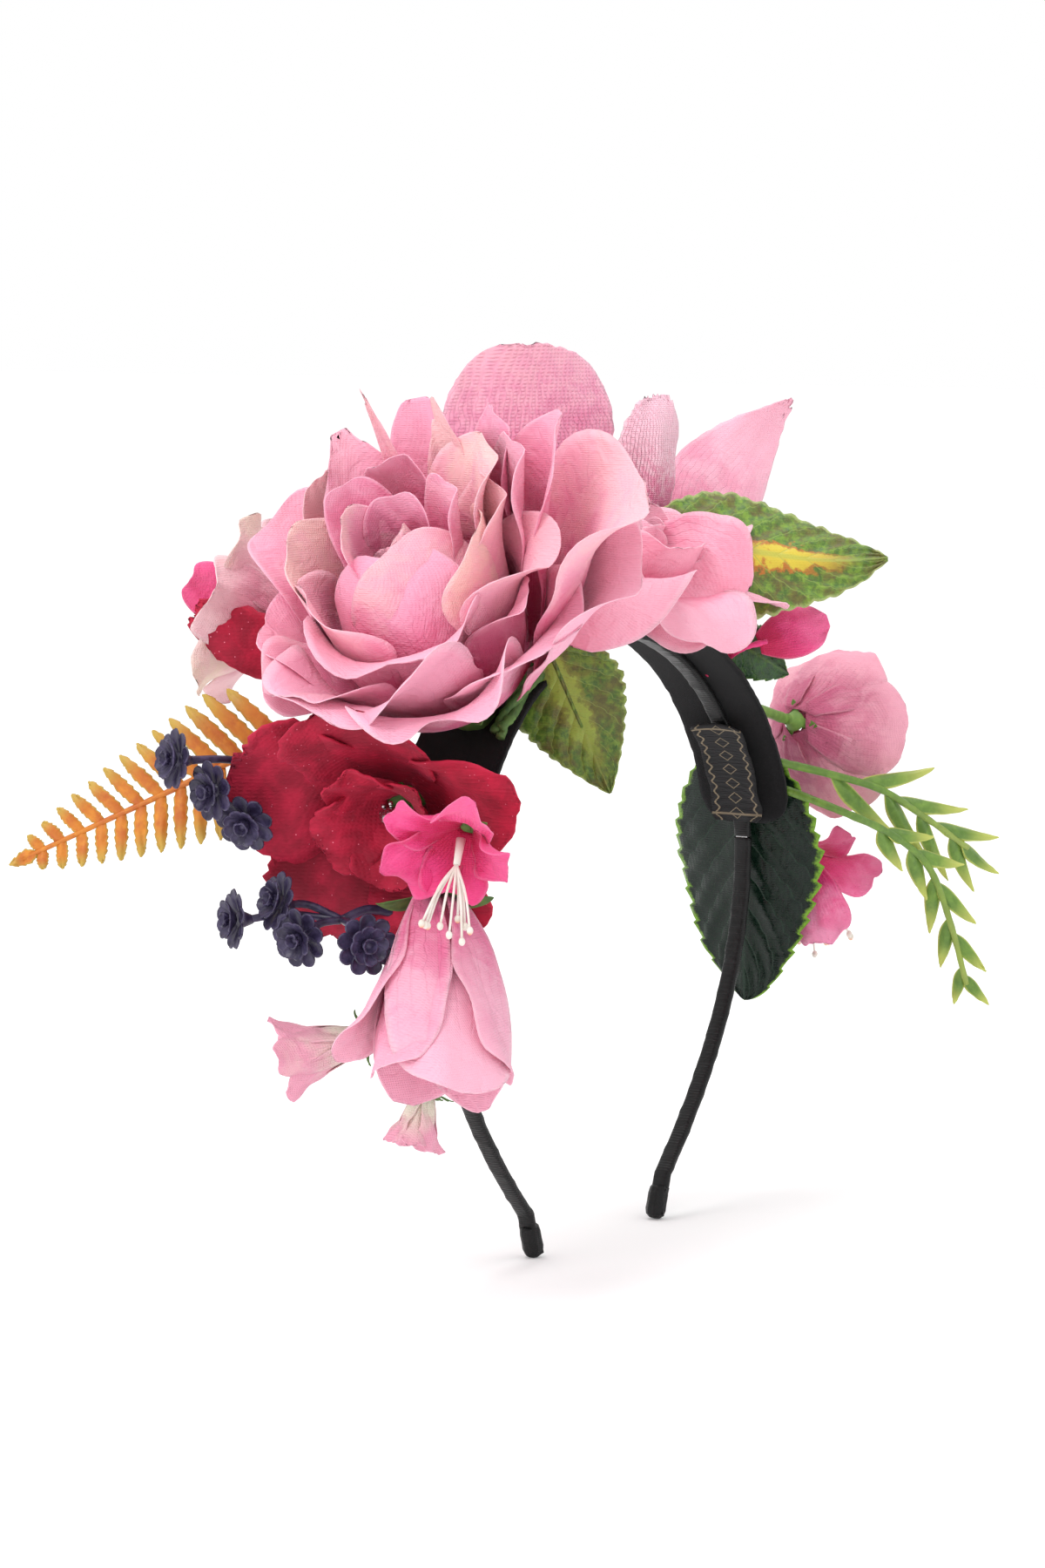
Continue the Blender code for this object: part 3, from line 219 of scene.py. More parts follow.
def sheet_of_cloth(
    piece, place, length, width, lean_from=0.0, lean_to=0.0, hook=0.0, wrap=0.0, broad=0.6, tip=2.4,
    point=0.5, stalk=0.35, ruffle=0.0, waves=3.0, wobble=1.2 * MM, fold=0.0, notch=0.0, ragged=0.0,
    teeth=0, tooth=0.0, scallop=False, quilt=0.0, twist=0.0, rows=26, columns=16, tint=0.5,
    patch=0.0, seed=0,
):
    """Cuts and shapes one petal or leaf that grows from place: up Z, leaning out along X.

    wrap is the radius that it is cupped to, ruffle and waves are its frilled rim, fold is a
    crease down the middle, notch a dip in its tip, ragged a torn rim, quilt the puffs between a
    leaf's veins, and teeth and tooth its saw edge.
    """
    chance = random.Random(seed * 7919 + 13)
    phases = [chance.uniform(0, math.tau) for _ in range(4)]
    line = midline(length, lean_from, lean_to, hook)
    drift = Vector((seed * 3.1, seed * 1.7, seed * 5.3))
    grid = bmesh.ops.create_grid(piece.bm, x_segments=columns, y_segments=rows, size=1.0)["verts"]
    for vert in grid:
        across = vert.co.x
        along = math.sin(math.pi / 2 * (vert.co.y + 1) / 2)
        half = width / 2 * outline(along, broad, tip, point, stalk)
        if teeth:
            bite = (along * teeth) % 1.0
            shape = abs(math.sin(math.pi * bite)) if scallop else 1 - bite
            half *= 1 + tooth * (shape - 0.5) * smooth(0.0, 0.12, along)
        spread = across * half / (width / 2)
        jag = noise.noise(Vector((spread * 9, along * 22, seed)))
        jag += noise.noise(Vector((spread * 31, along * 70, seed)))
        half *= 1 + ragged * jag * abs(across) ** 3
        reach = along * (1 - notch * math.exp(-((spread / 0.22) ** 2)) * along**8)
        reach *= 1 + ragged * jag * along**8
        reach *= 1 + ruffle / length * 0.6 * math.sin(spread * 5 + phases[3]) * along**6
        spot = min(1.0, max(0.0, reach)) * (len(line) - 1)
        before = line[min(int(spot), len(line) - 2)]
        after = line[min(int(spot), len(line) - 2) + 1]
        between = spot - min(int(spot), len(line) - 2)
        out, up, lean = (a + (b - a) * between for a, b in zip(before, after))
        side = across * half
        inward = 0.0
        if wrap:
            bend = side / wrap
            side = wrap * math.sin(bend)
            inward = wrap * (1 - math.cos(bend))
        phase = phases[0] if across > 0 else phases[1]
        inward += ruffle * spread**2 * math.sin(waves * math.pi * along + phase) * smooth(0.15, 0.7, along)
        inward += ruffle * 0.8 * along**5 * math.sin(waves * 1.6 * spread + phases[2])
        inward += fold * abs(across) * half
        inward += wobble * noise.noise(Vector((spread * 1.7, along * 2.3, 0)) + drift) * (0.3 + along)
        inward += wobble * 0.4 * noise.noise(Vector((spread * 5.0, along * 4.0, 4)) + drift) * (0.4 + along)
        if quilt:
            puff = abs(math.sin(math.pi * (along * 9 - abs(across) * 2.6)))
            inward += quilt * (puff * smooth(0.05, 0.3, abs(across)) - 0.5)
        turn = math.radians(twist) * along
        aside = side * math.cos(turn) - inward * math.sin(turn)
        inward = side * math.sin(turn) + inward * math.cos(turn)
        local = Vector((out - math.cos(lean) * inward, aside, up + math.sin(lean) * inward))
        vert.co = place @ local
        rim = max(abs(across), 1 - (1 - along) * length / max(half, 1 * MM) * 0.8)
        piece.mark(vert, across=across, along=along, rim=min(1.0, max(0.0, rim)), tint=tint, patch=patch)


def petal(piece, flower, turn, foot, roll=0.0, **shape):
    """A petal of a flower: turn is its side, foot how far out and up its root is, roll its twist."""
    out, up = foot
    place = flower @ Matrix.Rotation(math.radians(turn), 4, "Z") @ Matrix.Translation((out, 0, up))
    sheet_of_cloth(piece, place @ Matrix.Rotation(math.radians(roll), 4, "X"), **shape)


def tube(piece, route, radius, sides=8, taper=1.0, knots=0.0, seed=0, patch=0.0):
    """A stem or wire along a route, thinner at its end by the taper, with faint knots."""
    last = None
    hint = Vector((0.31, 0.52, 0.8))
    count = len(route) - 1
    for step, place in enumerate(route):
        ahead = (route[min(step + 1, count)] - route[max(step - 1, 0)]).normalized()
        one = ahead.cross(hint).normalized()
        hint = one.cross(ahead)
        two = ahead.cross(one)
        share = step / count
        size = radius * (1 + (taper - 1) * share)
        size *= 1 + knots * noise.noise(Vector((share * 25, seed, 0)))
        ring = []
        for corner in range(sides):
            turn = math.tau * corner / sides
            vert = piece.bm.verts.new(place + (one * math.cos(turn) + two * math.sin(turn)) * size)
            piece.mark(vert, across=corner / sides, along=share, rim=0.0, tint=0.5, patch=patch)
            ring.append(vert)
        if last:
            for corner in range(sides):
                after = (corner + 1) % sides
                piece.bm.faces.new((last[corner], last[after], ring[after], ring[corner]))
        else:
            piece.bm.faces.new(ring[::-1])
        last = ring
    piece.bm.faces.new(last)


def spun(piece, place, profile, steps=20, lobes=0, lobe=0.0, tint=0.5, patch=0.0):
    """A turned shape, from (radius, height) points down its outer side, with shallow lobes."""
    rings = []
    for share, (radius, height) in enumerate(profile):
        ring = []
        for corner in range(steps):
            turn = math.tau * corner / steps
            size = radius * (1 + lobe * math.cos(lobes * turn)) if lobes else radius
            vert = piece.bm.verts.new(place @ Vector((size * math.cos(turn), size * math.sin(turn), height)))
            piece.mark(
                vert, across=corner / steps, along=share / (len(profile) - 1), rim=0.0, tint=tint,
                patch=patch,
            )
            ring.append(vert)
        rings.append(ring)
    for upper, lower in zip(rings, rings[1:]):
        for corner in range(steps):
            after = (corner + 1) % steps
            piece.bm.faces.new((upper[corner], lower[corner], lower[after], upper[after]))
    piece.bm.faces.new(rings[0])
    piece.bm.faces.new(rings[-1][::-1])


def bead(piece, centre, radius, steps=12, squash=1.0, tint=0.5, patch=0.0):
    profile = []
    for step in range(steps + 1):
        turn = math.pi * (0.02 + 0.96 * step / steps)
        profile.append((radius * math.sin(turn), radius * squash * math.cos(turn)))
    spun(piece, Matrix.Translation(centre), profile, tint=tint, patch=patch)


# ---------------------------------------------------------------- finishes


class Wiring:
    """Puts nodes in a tree. What is given to an input is a number, a colour or another output."""

    def __init__(self, tree):
        self.tree = tree

    def put(self, kind, inputs=None, **settings):
        node = self.tree.nodes.new(kind)
        for name, value in settings.items():
            setattr(node, name, value)
        for name, value in (inputs or {}).items():
            self.join(value, node.inputs[name])
        return node

    def join(self, value, socket):
        if isinstance(value, bpy.types.NodeSocket):
            self.tree.links.new(value, socket)
        elif socket.type == "RGBA" and len(value) == 3:
            socket.default_value = (*value, 1.0)
        else:
            socket.default_value = value

    def maths(self, operation, *values, clamp=False):
        inputs = dict(enumerate(values))
        return self.put("ShaderNodeMath", inputs, operation=operation, use_clamp=clamp).outputs[0]

    def between(self, value, low, high):
        """0 below low and 1 above high, smooth between; high may be under low."""
        inputs = {0: value, 1: low, 2: high, 3: 0.0, 4: 1.0}
        return self.put("ShaderNodeMapRange", inputs, interpolation_type="SMOOTHSTEP").outputs[0]

    def blend(self, share, one, two, how="MIX"):
        node = self.put("ShaderNodeMix", {0: share, 6: one, 7: two}, data_type="RGBA", blend_type=how)
        return node.outputs[2]

    def cloud(self, place, scale, detail=3.0, rough=0.55, warp=0.0):
        inputs = {"Vector": place, "Scale": scale, "Detail": detail, "Roughness": rough, "Distortion": warp}
        return self.put("ShaderNodeTexNoise", inputs).outputs["Fac"]

    def mark(self, name):
        return self.put("ShaderNodeAttribute", attribute_name=name).outputs["Fac"]

    def where(self):
        return self.put("ShaderNodeTexCoord").outputs["Object"]

    def bump(self, height, depth, strength=1.0):
        return self.put(
            "ShaderNodeBump", {"Height": height, "Distance": depth, "Strength": strength},
        ).outputs[0]

    def effect(self, name, inputs):
        """A shared effect, placed with this finish's own values."""
        return self.put("ShaderNodeGroup", inputs, node_tree=bpy.data.node_groups[name]).outputs


def new_effect(name, inputs, outputs):
    """An empty shared effect: its wiring, its inputs' sockets and its end."""
    tree = bpy.data.node_groups.new(name, "ShaderNodeTree")
    for label, kind, value in inputs:
        socket = tree.interface.new_socket(label, in_out="INPUT", socket_type="NodeSocket" + kind)
        if value is not None:
            socket.default_value = value
    for label, kind in outputs:
        tree.interface.new_socket(label, in_out="OUTPUT", socket_type="NodeSocket" + kind)
    wiring = Wiring(tree)
    return wiring, wiring.put("NodeGroupInput").outputs, wiring.put("NodeGroupOutput").inputs


THREADS_PER_WAVE = 0.314


def make_thread_effect():
    """Woven threads: a height that rises and falls over and under, at a pitch in metres."""
    wiring, given, end = new_effect(
        "woven_threads",
        [("Vector", "Vector", None), ("Pitch", "Float", 0.5 * MM)],
        [("Height", "Float")],
    )
    fineness = wiring.maths("DIVIDE", THREADS_PER_WAVE, given["Pitch"])
    waves = []
    for direction in ("X", "Z"):
        inputs = {"Vector": given["Vector"], "Scale": fineness, "Distortion": 1.2, "Detail": 1.0}
        waves.append(wiring.put("ShaderNodeTexWave", inputs, bands_direction=direction).outputs["Fac"])
    wiring.join(wiring.maths("MULTIPLY", *waves), end["Height"])


def make_mottle_effect():
    """Soft uneven dyeing: a mask with cloudy edges."""
    wiring, given, end = new_effect(
        "uneven_dye",
        [
            ("Vector", "Vector", None), ("Size", "Float", 8 * MM), ("Low", "Float", 0.4),
            ("High", "Float", 0.6),
        ],
        [("Mask", "Float")],
    )
    cloud = wiring.cloud(given["Vector"], wiring.maths("DIVIDE", 1.0, given["Size"]), 4.0, 0.6, 0.4)
    wiring.join(wiring.between(cloud, given["Low"], given["High"]), end["Mask"])


def make_petal_vein_effect():
    """Pressed veins that fan out from a petal's root, stronger near the root."""
    wiring, given, end = new_effect(
        "pressed_veins",
        [
            ("Across", "Float", 0.0), ("Along", "Float", 0.0), ("Veins", "Float", 9.0),
            ("Vector", "Vector", None),
        ],
        [("Mask", "Float"), ("Height", "Float")],
    )
    stray = wiring.maths("SUBTRACT", wiring.cloud(given["Vector"], 130.0, 2.0), 0.5)
    fan = wiring.maths("MULTIPLY_ADD", stray, 0.25, given["Across"])
    waves = wiring.maths("MULTIPLY", given["Veins"], math.pi)
    wave = wiring.maths("SINE", wiring.maths("MULTIPLY", fan, waves))
    line = wiring.between(wiring.maths("ABSOLUTE", wave), 0.35, 0.0)
    fade = wiring.between(given["Along"], 1.05, 0.25)
    mask = wiring.maths("MULTIPLY", line, fade)
    wiring.join(mask, end["Mask"])
    wiring.join(wiring.maths("MULTIPLY", mask, -1.0), end["Height"])


def make_rim_effect():
    """The worn cut edge of cloth: a broken, fuzzy mask along the rim."""
    wiring, given, end = new_effect(
        "worn_rim",
        [("Rim", "Float", 0.0), ("Vector", "Vector", None), ("Width", "Float", 0.12)],
        [("Mask", "Float")],
    )
    crumb = wiring.maths("SUBTRACT", wiring.cloud(given["Vector"], 900.0, 3.0, 0.7), 0.5)
    edge = wiring.maths("MULTIPLY_ADD", crumb, 0.18, given["Rim"])
    wiring.join(wiring.between(edge, wiring.maths("SUBTRACT", 1.0, given["Width"]), 1.0), end["Mask"])


def make_leaf_vein_effect():
    """A leaf's midrib and slanting side veins, as a mask and a height with puffs between them."""
    wiring, given, end = new_effect(
        "leaf_veins",
        [("Across", "Float", 0.0), ("Along", "Float", 0.0), ("Pairs", "Float", 9.0), ("Slant", "Float", 2.6)],
        [("Mask", "Float"), ("Midrib", "Float"), ("Height", "Float")],
    )
    aside = wiring.maths("ABSOLUTE", given["Across"])
    slanted = wiring.maths("MULTIPLY", aside, given["Slant"])
    wave = wiring.maths("SUBTRACT", wiring.maths("MULTIPLY", given["Along"], given["Pairs"]), slanted)
    ridge = wiring.maths("ABSOLUTE", wiring.maths("SINE", wiring.maths("MULTIPLY", wave, math.pi)))
    side_vein = wiring.maths("MULTIPLY", wiring.between(ridge, 0.16, 0.02), wiring.between(aside, 1.0, 0.75))
    midrib = wiring.between(aside, 0.07, 0.02)
    wiring.join(wiring.maths("MAXIMUM", side_vein, midrib), end["Mask"])
    wiring.join(midrib, end["Midrib"])
    wiring.join(wiring.maths("POWER", ridge, 0.5), end["Height"])


def new_finish(name, sheen=0.0, sheen_roughness=0.4, **numbers):
    """A material with its own Principled shader, and the plain numbers set on its sockets."""
    made = bpy.data.materials.new(name)
    made.use_nodes = True
    shader = made.node_tree.nodes["Principled BSDF"]
    shader.inputs["Sheen Weight"].default_value = sheen
    shader.inputs["Sheen Roughness"].default_value = sheen_roughness
    for label, value in numbers.items():
        shader.inputs[label.replace("_", " ")].default_value = value
    return made, Wiring(made.node_tree), shader.inputs


def petal_cloth(
    name, deep, light, rim, patch, veins=9.0, vein_depth=0.5, threads=0.5 * MM, dye=9 * MM, shine=0.62,
    root_reach=0.55, glow=0.12, weave_depth=0.35,
):
    """Silk: deep at the root, partly dye and partly painted shade, and light towards the tip, with veins,
    uneven dye and a worn rim.
    """
    made, wiring, shader = new_finish(
        name, sheen=0.12, sheen_roughness=0.35, Specular_IOR_Level=0.3, Subsurface_Weight=glow,
        Subsurface_Radius=(4 * MM, 2 * MM, 2 * MM), Subsurface_Scale=1.0,
    )
    place = wiring.where()
    along = wiring.mark("along")
    tint = wiring.mark("tint")
    dye_mask = wiring.effect("uneven_dye", {"Vector": place, "Size": dye, "Low": 0.35, "High": 0.7})["Mask"]
    vein = wiring.effect(
        "pressed_veins", {"Across": wiring.mark("across"), "Along": along, "Veins": veins, "Vector": place}
    )
    worn = wiring.effect("worn_rim", {"Rim": wiring.mark("rim"), "Vector": place, "Width": 0.13})["Mask"]
    weave = wiring.effect("woven_threads", {"Vector": place, "Pitch": threads})["Height"]
    # The deep end of this blend, towards the roots, is partly the silk's dye and partly painted shade deep
    # inside the flower.
    depth = wiring.maths("MULTIPLY_ADD", wiring.maths("SUBTRACT", dye_mask, 0.5), 0.35, along)
    depth = wiring.maths("MULTIPLY_ADD", wiring.maths("SUBTRACT", tint, 0.5), 0.7, depth)
    colour = wiring.blend(wiring.between(depth, 0.05, root_reach + 0.3), deep, light)
    colour = wiring.blend(wiring.maths("MULTIPLY", vein["Mask"], 0.28 * vein_depth), colour, deep)
    second = wiring.maths("MULTIPLY", wiring.mark("patch"), wiring.between(depth, 0.5, 1.1))
    colour = wiring.blend(second, colour, patch)
    colour = wiring.blend(wiring.maths("MULTIPLY", worn, 0.32), colour, rim)
    wiring.join(colour, shader["Base Color"])
    rough = wiring.maths("MULTIPLY_ADD", dye_mask, 0.12, shine)
    wiring.join(wiring.maths("MULTIPLY_ADD", worn, 0.15, rough, clamp=True), shader["Roughness"])
    threads_height = wiring.maths("MULTIPLY", weave, weave_depth)
    height = wiring.maths("MULTIPLY_ADD", vein["Height"], vein_depth, threads_height)
    crease = wiring.cloud(place, 150.0, 2.0, 0.5, 1.8)
    height = wiring.maths("MULTIPLY_ADD", crease, 2.6, height)
    wiring.join(wiring.bump(height, 0.3 * MM, 0.8), shader["Normal"])
    return made


def velvet_cloth(name, deep, light, glint):
    """Velvet with a slanted pile and bright specks of glitter."""
    made, wiring, shader = new_finish(
        name, sheen=0.35, sheen_roughness=0.3, Sheen_Tint=(1.0, 0.12, 0.25, 1.0),
    )
    place = wiring.where()
    pile = wiring.cloud(place, 520.0, 3.0, 0.7)
    brushed = wiring.effect("uneven_dye", {"Vector": place, "Size": 7 * MM, "Low": 0.3, "High": 0.75})["Mask"]
    weave = wiring.effect("woven_threads", {"Vector": place, "Pitch": 0.9 * MM})["Height"]
    worn = wiring.effect("worn_rim", {"Rim": wiring.mark("rim"), "Vector": place, "Width": 0.07})["Mask"]
    depth = wiring.maths("MULTIPLY_ADD", wiring.mark("tint"), 0.6, wiring.maths("MULTIPLY", brushed, 0.5))
    colour = wiring.blend(wiring.between(depth, 0.1, 1.0), deep, light)
    specks = wiring.put("ShaderNodeTexVoronoi", {"Vector": place, "Scale": 1250.0}, feature="F1").outputs
    speck = wiring.between(specks["Distance"], 0.22, 0.12)
    chosen = wiring.between(
        wiring.put("ShaderNodeSeparateColor", {0: specks["Color"]}).outputs[0], 0.88, 0.93,
    )
    speck = wiring.maths("MULTIPLY", speck, chosen)
    colour = wiring.blend(wiring.maths("MULTIPLY", worn, 0.5), colour, light)
    colour = wiring.blend(speck, colour, glint)
    wiring.join(colour, shader["Base Color"])
    wiring.join(wiring.maths("MULTIPLY_ADD", speck, -0.5, 0.78), shader["Roughness"])
    wiring.join(wiring.maths("MULTIPLY", speck, 0.5), shader["Metallic"])
    height = wiring.maths("MULTIPLY_ADD", pile, 0.6, wiring.maths("MULTIPLY", weave, 0.4))
    wiring.join(wiring.bump(height, 0.25 * MM, 0.8), shader["Normal"])
    return made


def leaf_cloth(
    name, dark, light, brown, vein_colour, rim, blaze=None, blaze_rim=None, shine=0.42, pairs=9.0,
    gloss=0.5,
):
    """Printed leaf cloth: veined, blotched with brown, and with a second colour down the middle."""
    made, wiring, shader = new_finish(
        name, sheen=0.02, Specular_IOR_Level=gloss, Subsurface_Weight=0.05,
        Subsurface_Radius=(2 * MM, 3 * MM, MM)
    )
    place = wiring.where()
    across, along = wiring.mark("across"), wiring.mark("along")
    vein = wiring.effect("leaf_veins", {"Across": across, "Along": along, "Pairs": pairs})
    blotch = wiring.effect("uneven_dye", {"Vector": place, "Size": 5 * MM, "Low": 0.42, "High": 0.62})["Mask"]
    fine = wiring.effect("uneven_dye", {"Vector": place, "Size": 1.6 * MM, "Low": 0.35, "High": 0.7})["Mask"]
    worn = wiring.effect("worn_rim", {"Rim": wiring.mark("rim"), "Vector": place, "Width": 0.1})["Mask"]
    weave = wiring.effect("woven_threads", {"Vector": place, "Pitch": 0.6 * MM})["Height"]
    colour = wiring.blend(fine, dark, light)
    colour = wiring.blend(wiring.maths("MULTIPLY", blotch, wiring.mark("tint")), colour, brown)
    if blaze:
        stray = wiring.maths("SUBTRACT", wiring.cloud(place, 210.0, 4.0, 0.65), 0.5)
        aside = wiring.maths("ABSOLUTE", wiring.maths("MULTIPLY_ADD", stray, 0.75, across))
        inside = wiring.maths("MULTIPLY", wiring.between(along, 0.92, 0.6), wiring.mark("patch"))
        edge = wiring.maths("MULTIPLY", wiring.between(aside, 0.30, 0.23), inside)
        colour = wiring.blend(edge, colour, blaze_rim)
        middle_share = wiring.maths("MULTIPLY", wiring.between(aside, 0.22, 0.14), inside)
        colour = wiring.blend(middle_share, colour, blaze)
    colour = wiring.blend(wiring.maths("MULTIPLY", vein["Mask"], 0.45), colour, vein_colour)
    colour = wiring.blend(wiring.maths("MULTIPLY", worn, 0.8), colour, rim)
    wiring.join(colour, shader["Base Color"])
    wiring.join(wiring.maths("MULTIPLY_ADD", fine, 0.18, shine), shader["Roughness"])
    height = wiring.maths("MULTIPLY_ADD", weave, 0.12, wiring.maths("MULTIPLY", vein["Height"], 0.5))
    wiring.join(wiring.bump(height, 0.5 * MM, 0.7), shader["Normal"])
    return made


def band_satin(name, tone=0.012, shine=0.34, wrinkles=0.35):
    """Black satin ribbon: fine ribs, soft wrinkles and dust."""
    made, wiring, shader = new_finish(name, sheen=0.03, sheen_roughness=0.3, Specular_IOR_Level=0.28)
    place = wiring.where()
    weave = wiring.effect("woven_threads", {"Vector": place, "Pitch": 0.55 * MM})["Height"]
    fold = wiring.cloud(place, 160.0, 3.0, 0.5, 1.6)
    dust = wiring.effect("uneven_dye", {"Vector": place, "Size": 2.2 * MM, "Low": 0.58, "High": 0.75})["Mask"]
    worn = wiring.effect("worn_rim", {"Rim": wiring.mark("rim"), "Vector": place, "Width": 0.12})["Mask"]
    shade = wiring.maths("MAXIMUM", wiring.maths("MULTIPLY", dust, 0.35), wiring.maths("MULTIPLY", worn, 0.5))
    colour = wiring.blend(shade, (tone, tone, tone * 1.05), (tone * 4, tone * 4, tone * 4.3))
    wiring.join(colour, shader["Base Color"])
    wiring.join(wiring.maths("MULTIPLY_ADD", fold, 0.3, shine - 0.1), shader["Roughness"])
    height = wiring.maths("MULTIPLY_ADD", weave, 0.25, wiring.maths("MULTIPLY", fold, wrinkles * 3))
    wiring.join(wiring.bump(height, 0.4 * MM, 0.7), shader["Normal"])
    return made


def backing_felt(name):
    """Matte black felt: matted fibres with lint."""
    made, wiring, shader = new_finish(name, sheen=0.06, sheen_roughness=0.6, Specular_IOR_Level=0.15)
    place = wiring.where()
    fibre = wiring.cloud(place, 1500.0, 4.0, 0.75, 3.0)
    lint = wiring.effect("uneven_dye", {"Vector": place, "Size": 1.1 * MM, "Low": 0.62, "High": 0.78})["Mask"]
    colour = wiring.blend(wiring.maths("MULTIPLY", lint, 0.5), (0.005, 0.005, 0.006), (0.03, 0.03, 0.034))
    wiring.join(colour, shader["Base Color"])
    wiring.join(wiring.maths("MULTIPLY_ADD", fibre, 0.2, 0.75), shader["Roughness"])
    wiring.join(wiring.bump(fibre, 0.35 * MM, 0.9), shader["Normal"])
    return made


def label_weave(name):
    """A black woven label with a plain tan wave along each edge and a lozenge row inside."""
    made, wiring, shader = new_finish(name, sheen=0.04, Specular_IOR_Level=0.2)
    place = wiring.where()
    across, along = wiring.mark("across"), wiring.mark("along")
    weave = wiring.effect("woven_threads", {"Vector": place, "Pitch": 0.45 * MM})["Height"]
    aside = wiring.maths("ABSOLUTE", across)
    ripple = wiring.maths("MULTIPLY", wiring.maths("SINE", wiring.maths("MULTIPLY", along, 62.0)), 0.07)
    gap = wiring.maths("ABSOLUTE", wiring.maths("SUBTRACT", wiring.maths("SUBTRACT", aside, 0.78), ripple))
    line = wiring.between(gap, 0.055, 0.02)
    repeat = wiring.maths("FRACT", wiring.maths("MULTIPLY", along, 7.0))
    step = wiring.maths("ABSOLUTE", wiring.maths("SUBTRACT", repeat, 0.5))
    diamond = wiring.maths("ADD", step, wiring.maths("MULTIPLY", aside, 1.3))
    ring = wiring.between(wiring.maths("ABSOLUTE", wiring.maths("SUBTRACT", diamond, 0.36)), 0.05, 0.02)
    from_middle = wiring.maths("ABSOLUTE", wiring.maths("SUBTRACT", along, 0.5))
    from_hem = wiring.maths("ABSOLUTE", wiring.maths("SUBTRACT", from_middle, 0.44))
    end_line = wiring.between(from_hem, 0.014, 0.005)
    pattern = wiring.maths("MAXIMUM", wiring.maths("MAXIMUM", line, ring), end_line)
    pattern = wiring.maths("MULTIPLY", pattern, wiring.maths("MULTIPLY_ADD", weave, 0.5, 0.5))
    wiring.join(wiring.blend(pattern, (0.018, 0.018, 0.019), (0.36, 0.29, 0.19)), shader["Base Color"])
    wiring.join(wiring.maths("MULTIPLY_ADD", weave, 0.2, 0.6), shader["Roughness"])
    wiring.join(
        wiring.bump(wiring.maths("MULTIPLY_ADD", pattern, 0.6, weave), 0.2 * MM, 0.8), shader["Normal"],
    )
    return made


def moulded_plastic(name, dark, light, tip=None, shine=0.4, grain=1.2 * MM, relief=0.25 * MM):
    """Moulded or taped plastic with faint mould grain, lighter on its high spots and at its tip."""
    made, wiring, shader = new_finish(name, Subsurface_Weight=0.03, Subsurface_Radius=(MM, MM, MM))
    place = wiring.where()
    patchy = wiring.effect(
        "uneven_dye", {"Vector": place, "Size": grain * 4, "Low": 0.35, "High": 0.7},
    )["Mask"]
    fine = wiring.cloud(place, 0.6 / grain, 3.0, 0.6)
    share = wiring.maths(
        "MULTIPLY_ADD", wiring.between(fine, 0.45, 0.75), 0.4, wiring.maths("MULTIPLY", patchy, 0.6),
    )
    colour = wiring.blend(share, dark, light)
    if tip:
        reach = wiring.maths(
            "MULTIPLY", wiring.between(wiring.mark("along"), 0.45, 1.0), wiring.mark("patch"),
        )
        edge = wiring.effect("worn_rim", {"Rim": wiring.mark("rim"), "Vector": place, "Width": 0.35})["Mask"]
        edge = wiring.maths("MULTIPLY", edge, wiring.mark("patch"))
        colour = wiring.blend(wiring.maths("MAXIMUM", reach, edge), colour, tip)
    wiring.join(colour, shader["Base Color"])
    wiring.join(wiring.maths("MULTIPLY_ADD", patchy, 0.2, shine), shader["Roughness"])
    wiring.join(wiring.bump(fine, relief, 0.5), shader["Normal"])
    return made


def bright_bead(name):
    made, wiring, shader = new_finish(name)
    place = wiring.where()
    wear = wiring.effect("uneven_dye", {"Vector": place, "Size": 0.8 * MM, "Low": 0.45, "High": 0.65})["Mask"]
    wiring.join(wiring.blend(wear, (0.55, 0.55, 0.57), (0.3, 0.29, 0.3)), shader["Base Color"])
    wiring.join(wiring.maths("MULTIPLY_ADD", wear, 0.25, 0.12), shader["Roughness"])
    wiring.join(wiring.maths("MULTIPLY_ADD", wear, -0.1, 1.0), shader["Metallic"])
    wiring.join(wiring.bump(wear, 0.04 * MM, 0.4), shader["Normal"])
    return made


def spring_steel(name):
    made, wiring, shader = new_finish(name)
    grain = wiring.cloud(wiring.where(), 900.0, 3.0, 0.6, 2.0)
    wiring.join(wiring.blend(grain, (0.42, 0.42, 0.43), (0.6, 0.6, 0.61)), shader["Base Color"])
    wiring.join(wiring.maths("MULTIPLY_ADD", grain, 0.2, 0.25), shader["Roughness"])
    wiring.join(wiring.maths("MULTIPLY_ADD", grain, -0.05, 1.0), shader["Metallic"])
    wiring.join(wiring.bump(grain, 0.05 * MM, 0.4), shader["Normal"])
    return made


for make_effect in (
    make_thread_effect, make_mottle_effect, make_petal_vein_effect, make_rim_effect, make_leaf_vein_effect,
):
    make_effect()

# The first, deep colour of each pink silk below is partly its dye and partly painted shade deep inside the
# flower; the blossom's cream root is only its dye.
CREAM = (0.93, 0.62, 0.54)
PEONY_SILK = petal_cloth("peony_silk", (0.74, 0.10, 0.25), (0.90, 0.37, 0.52), (0.94, 0.55, 0.65), CREAM)
LIP_SILK = petal_cloth("peony_lip_silk", (0.76, 0.12, 0.27), (0.91, 0.41, 0.55), (0.97, 0.66, 0.73), CREAM)
ROSE_SILK = petal_cloth(
    "rose_silk", (0.80, 0.20, 0.34), (0.92, 0.46, 0.58), (0.95, 0.62, 0.69), (0.88, 0.27, 0.40),
)
BACK_SILK = petal_cloth(
    "back_petal_silk", (0.70, 0.17, 0.33), (0.88, 0.38, 0.52), (0.92, 0.52, 0.62), CREAM, dye=3.5 * MM,
    veins=20.0, vein_depth=1.3, threads=0.9 * MM, weave_depth=1.1,
)
SLIT_VELVET = petal_cloth(
    "slit_velvet", (0.78, 0.16, 0.32), (0.95, 0.62, 0.71), (0.98, 0.82, 0.86), (0.84, 0.30, 0.46),
    dye=1.6 * MM, veins=11.0, vein_depth=2.6, weave_depth=0.9,
)
PALE_SILK = petal_cloth(
    "pale_silk", (0.72, 0.26, 0.36), (0.88, 0.56, 0.60), (0.92, 0.70, 0.70), (0.86, 0.72, 0.58),
)
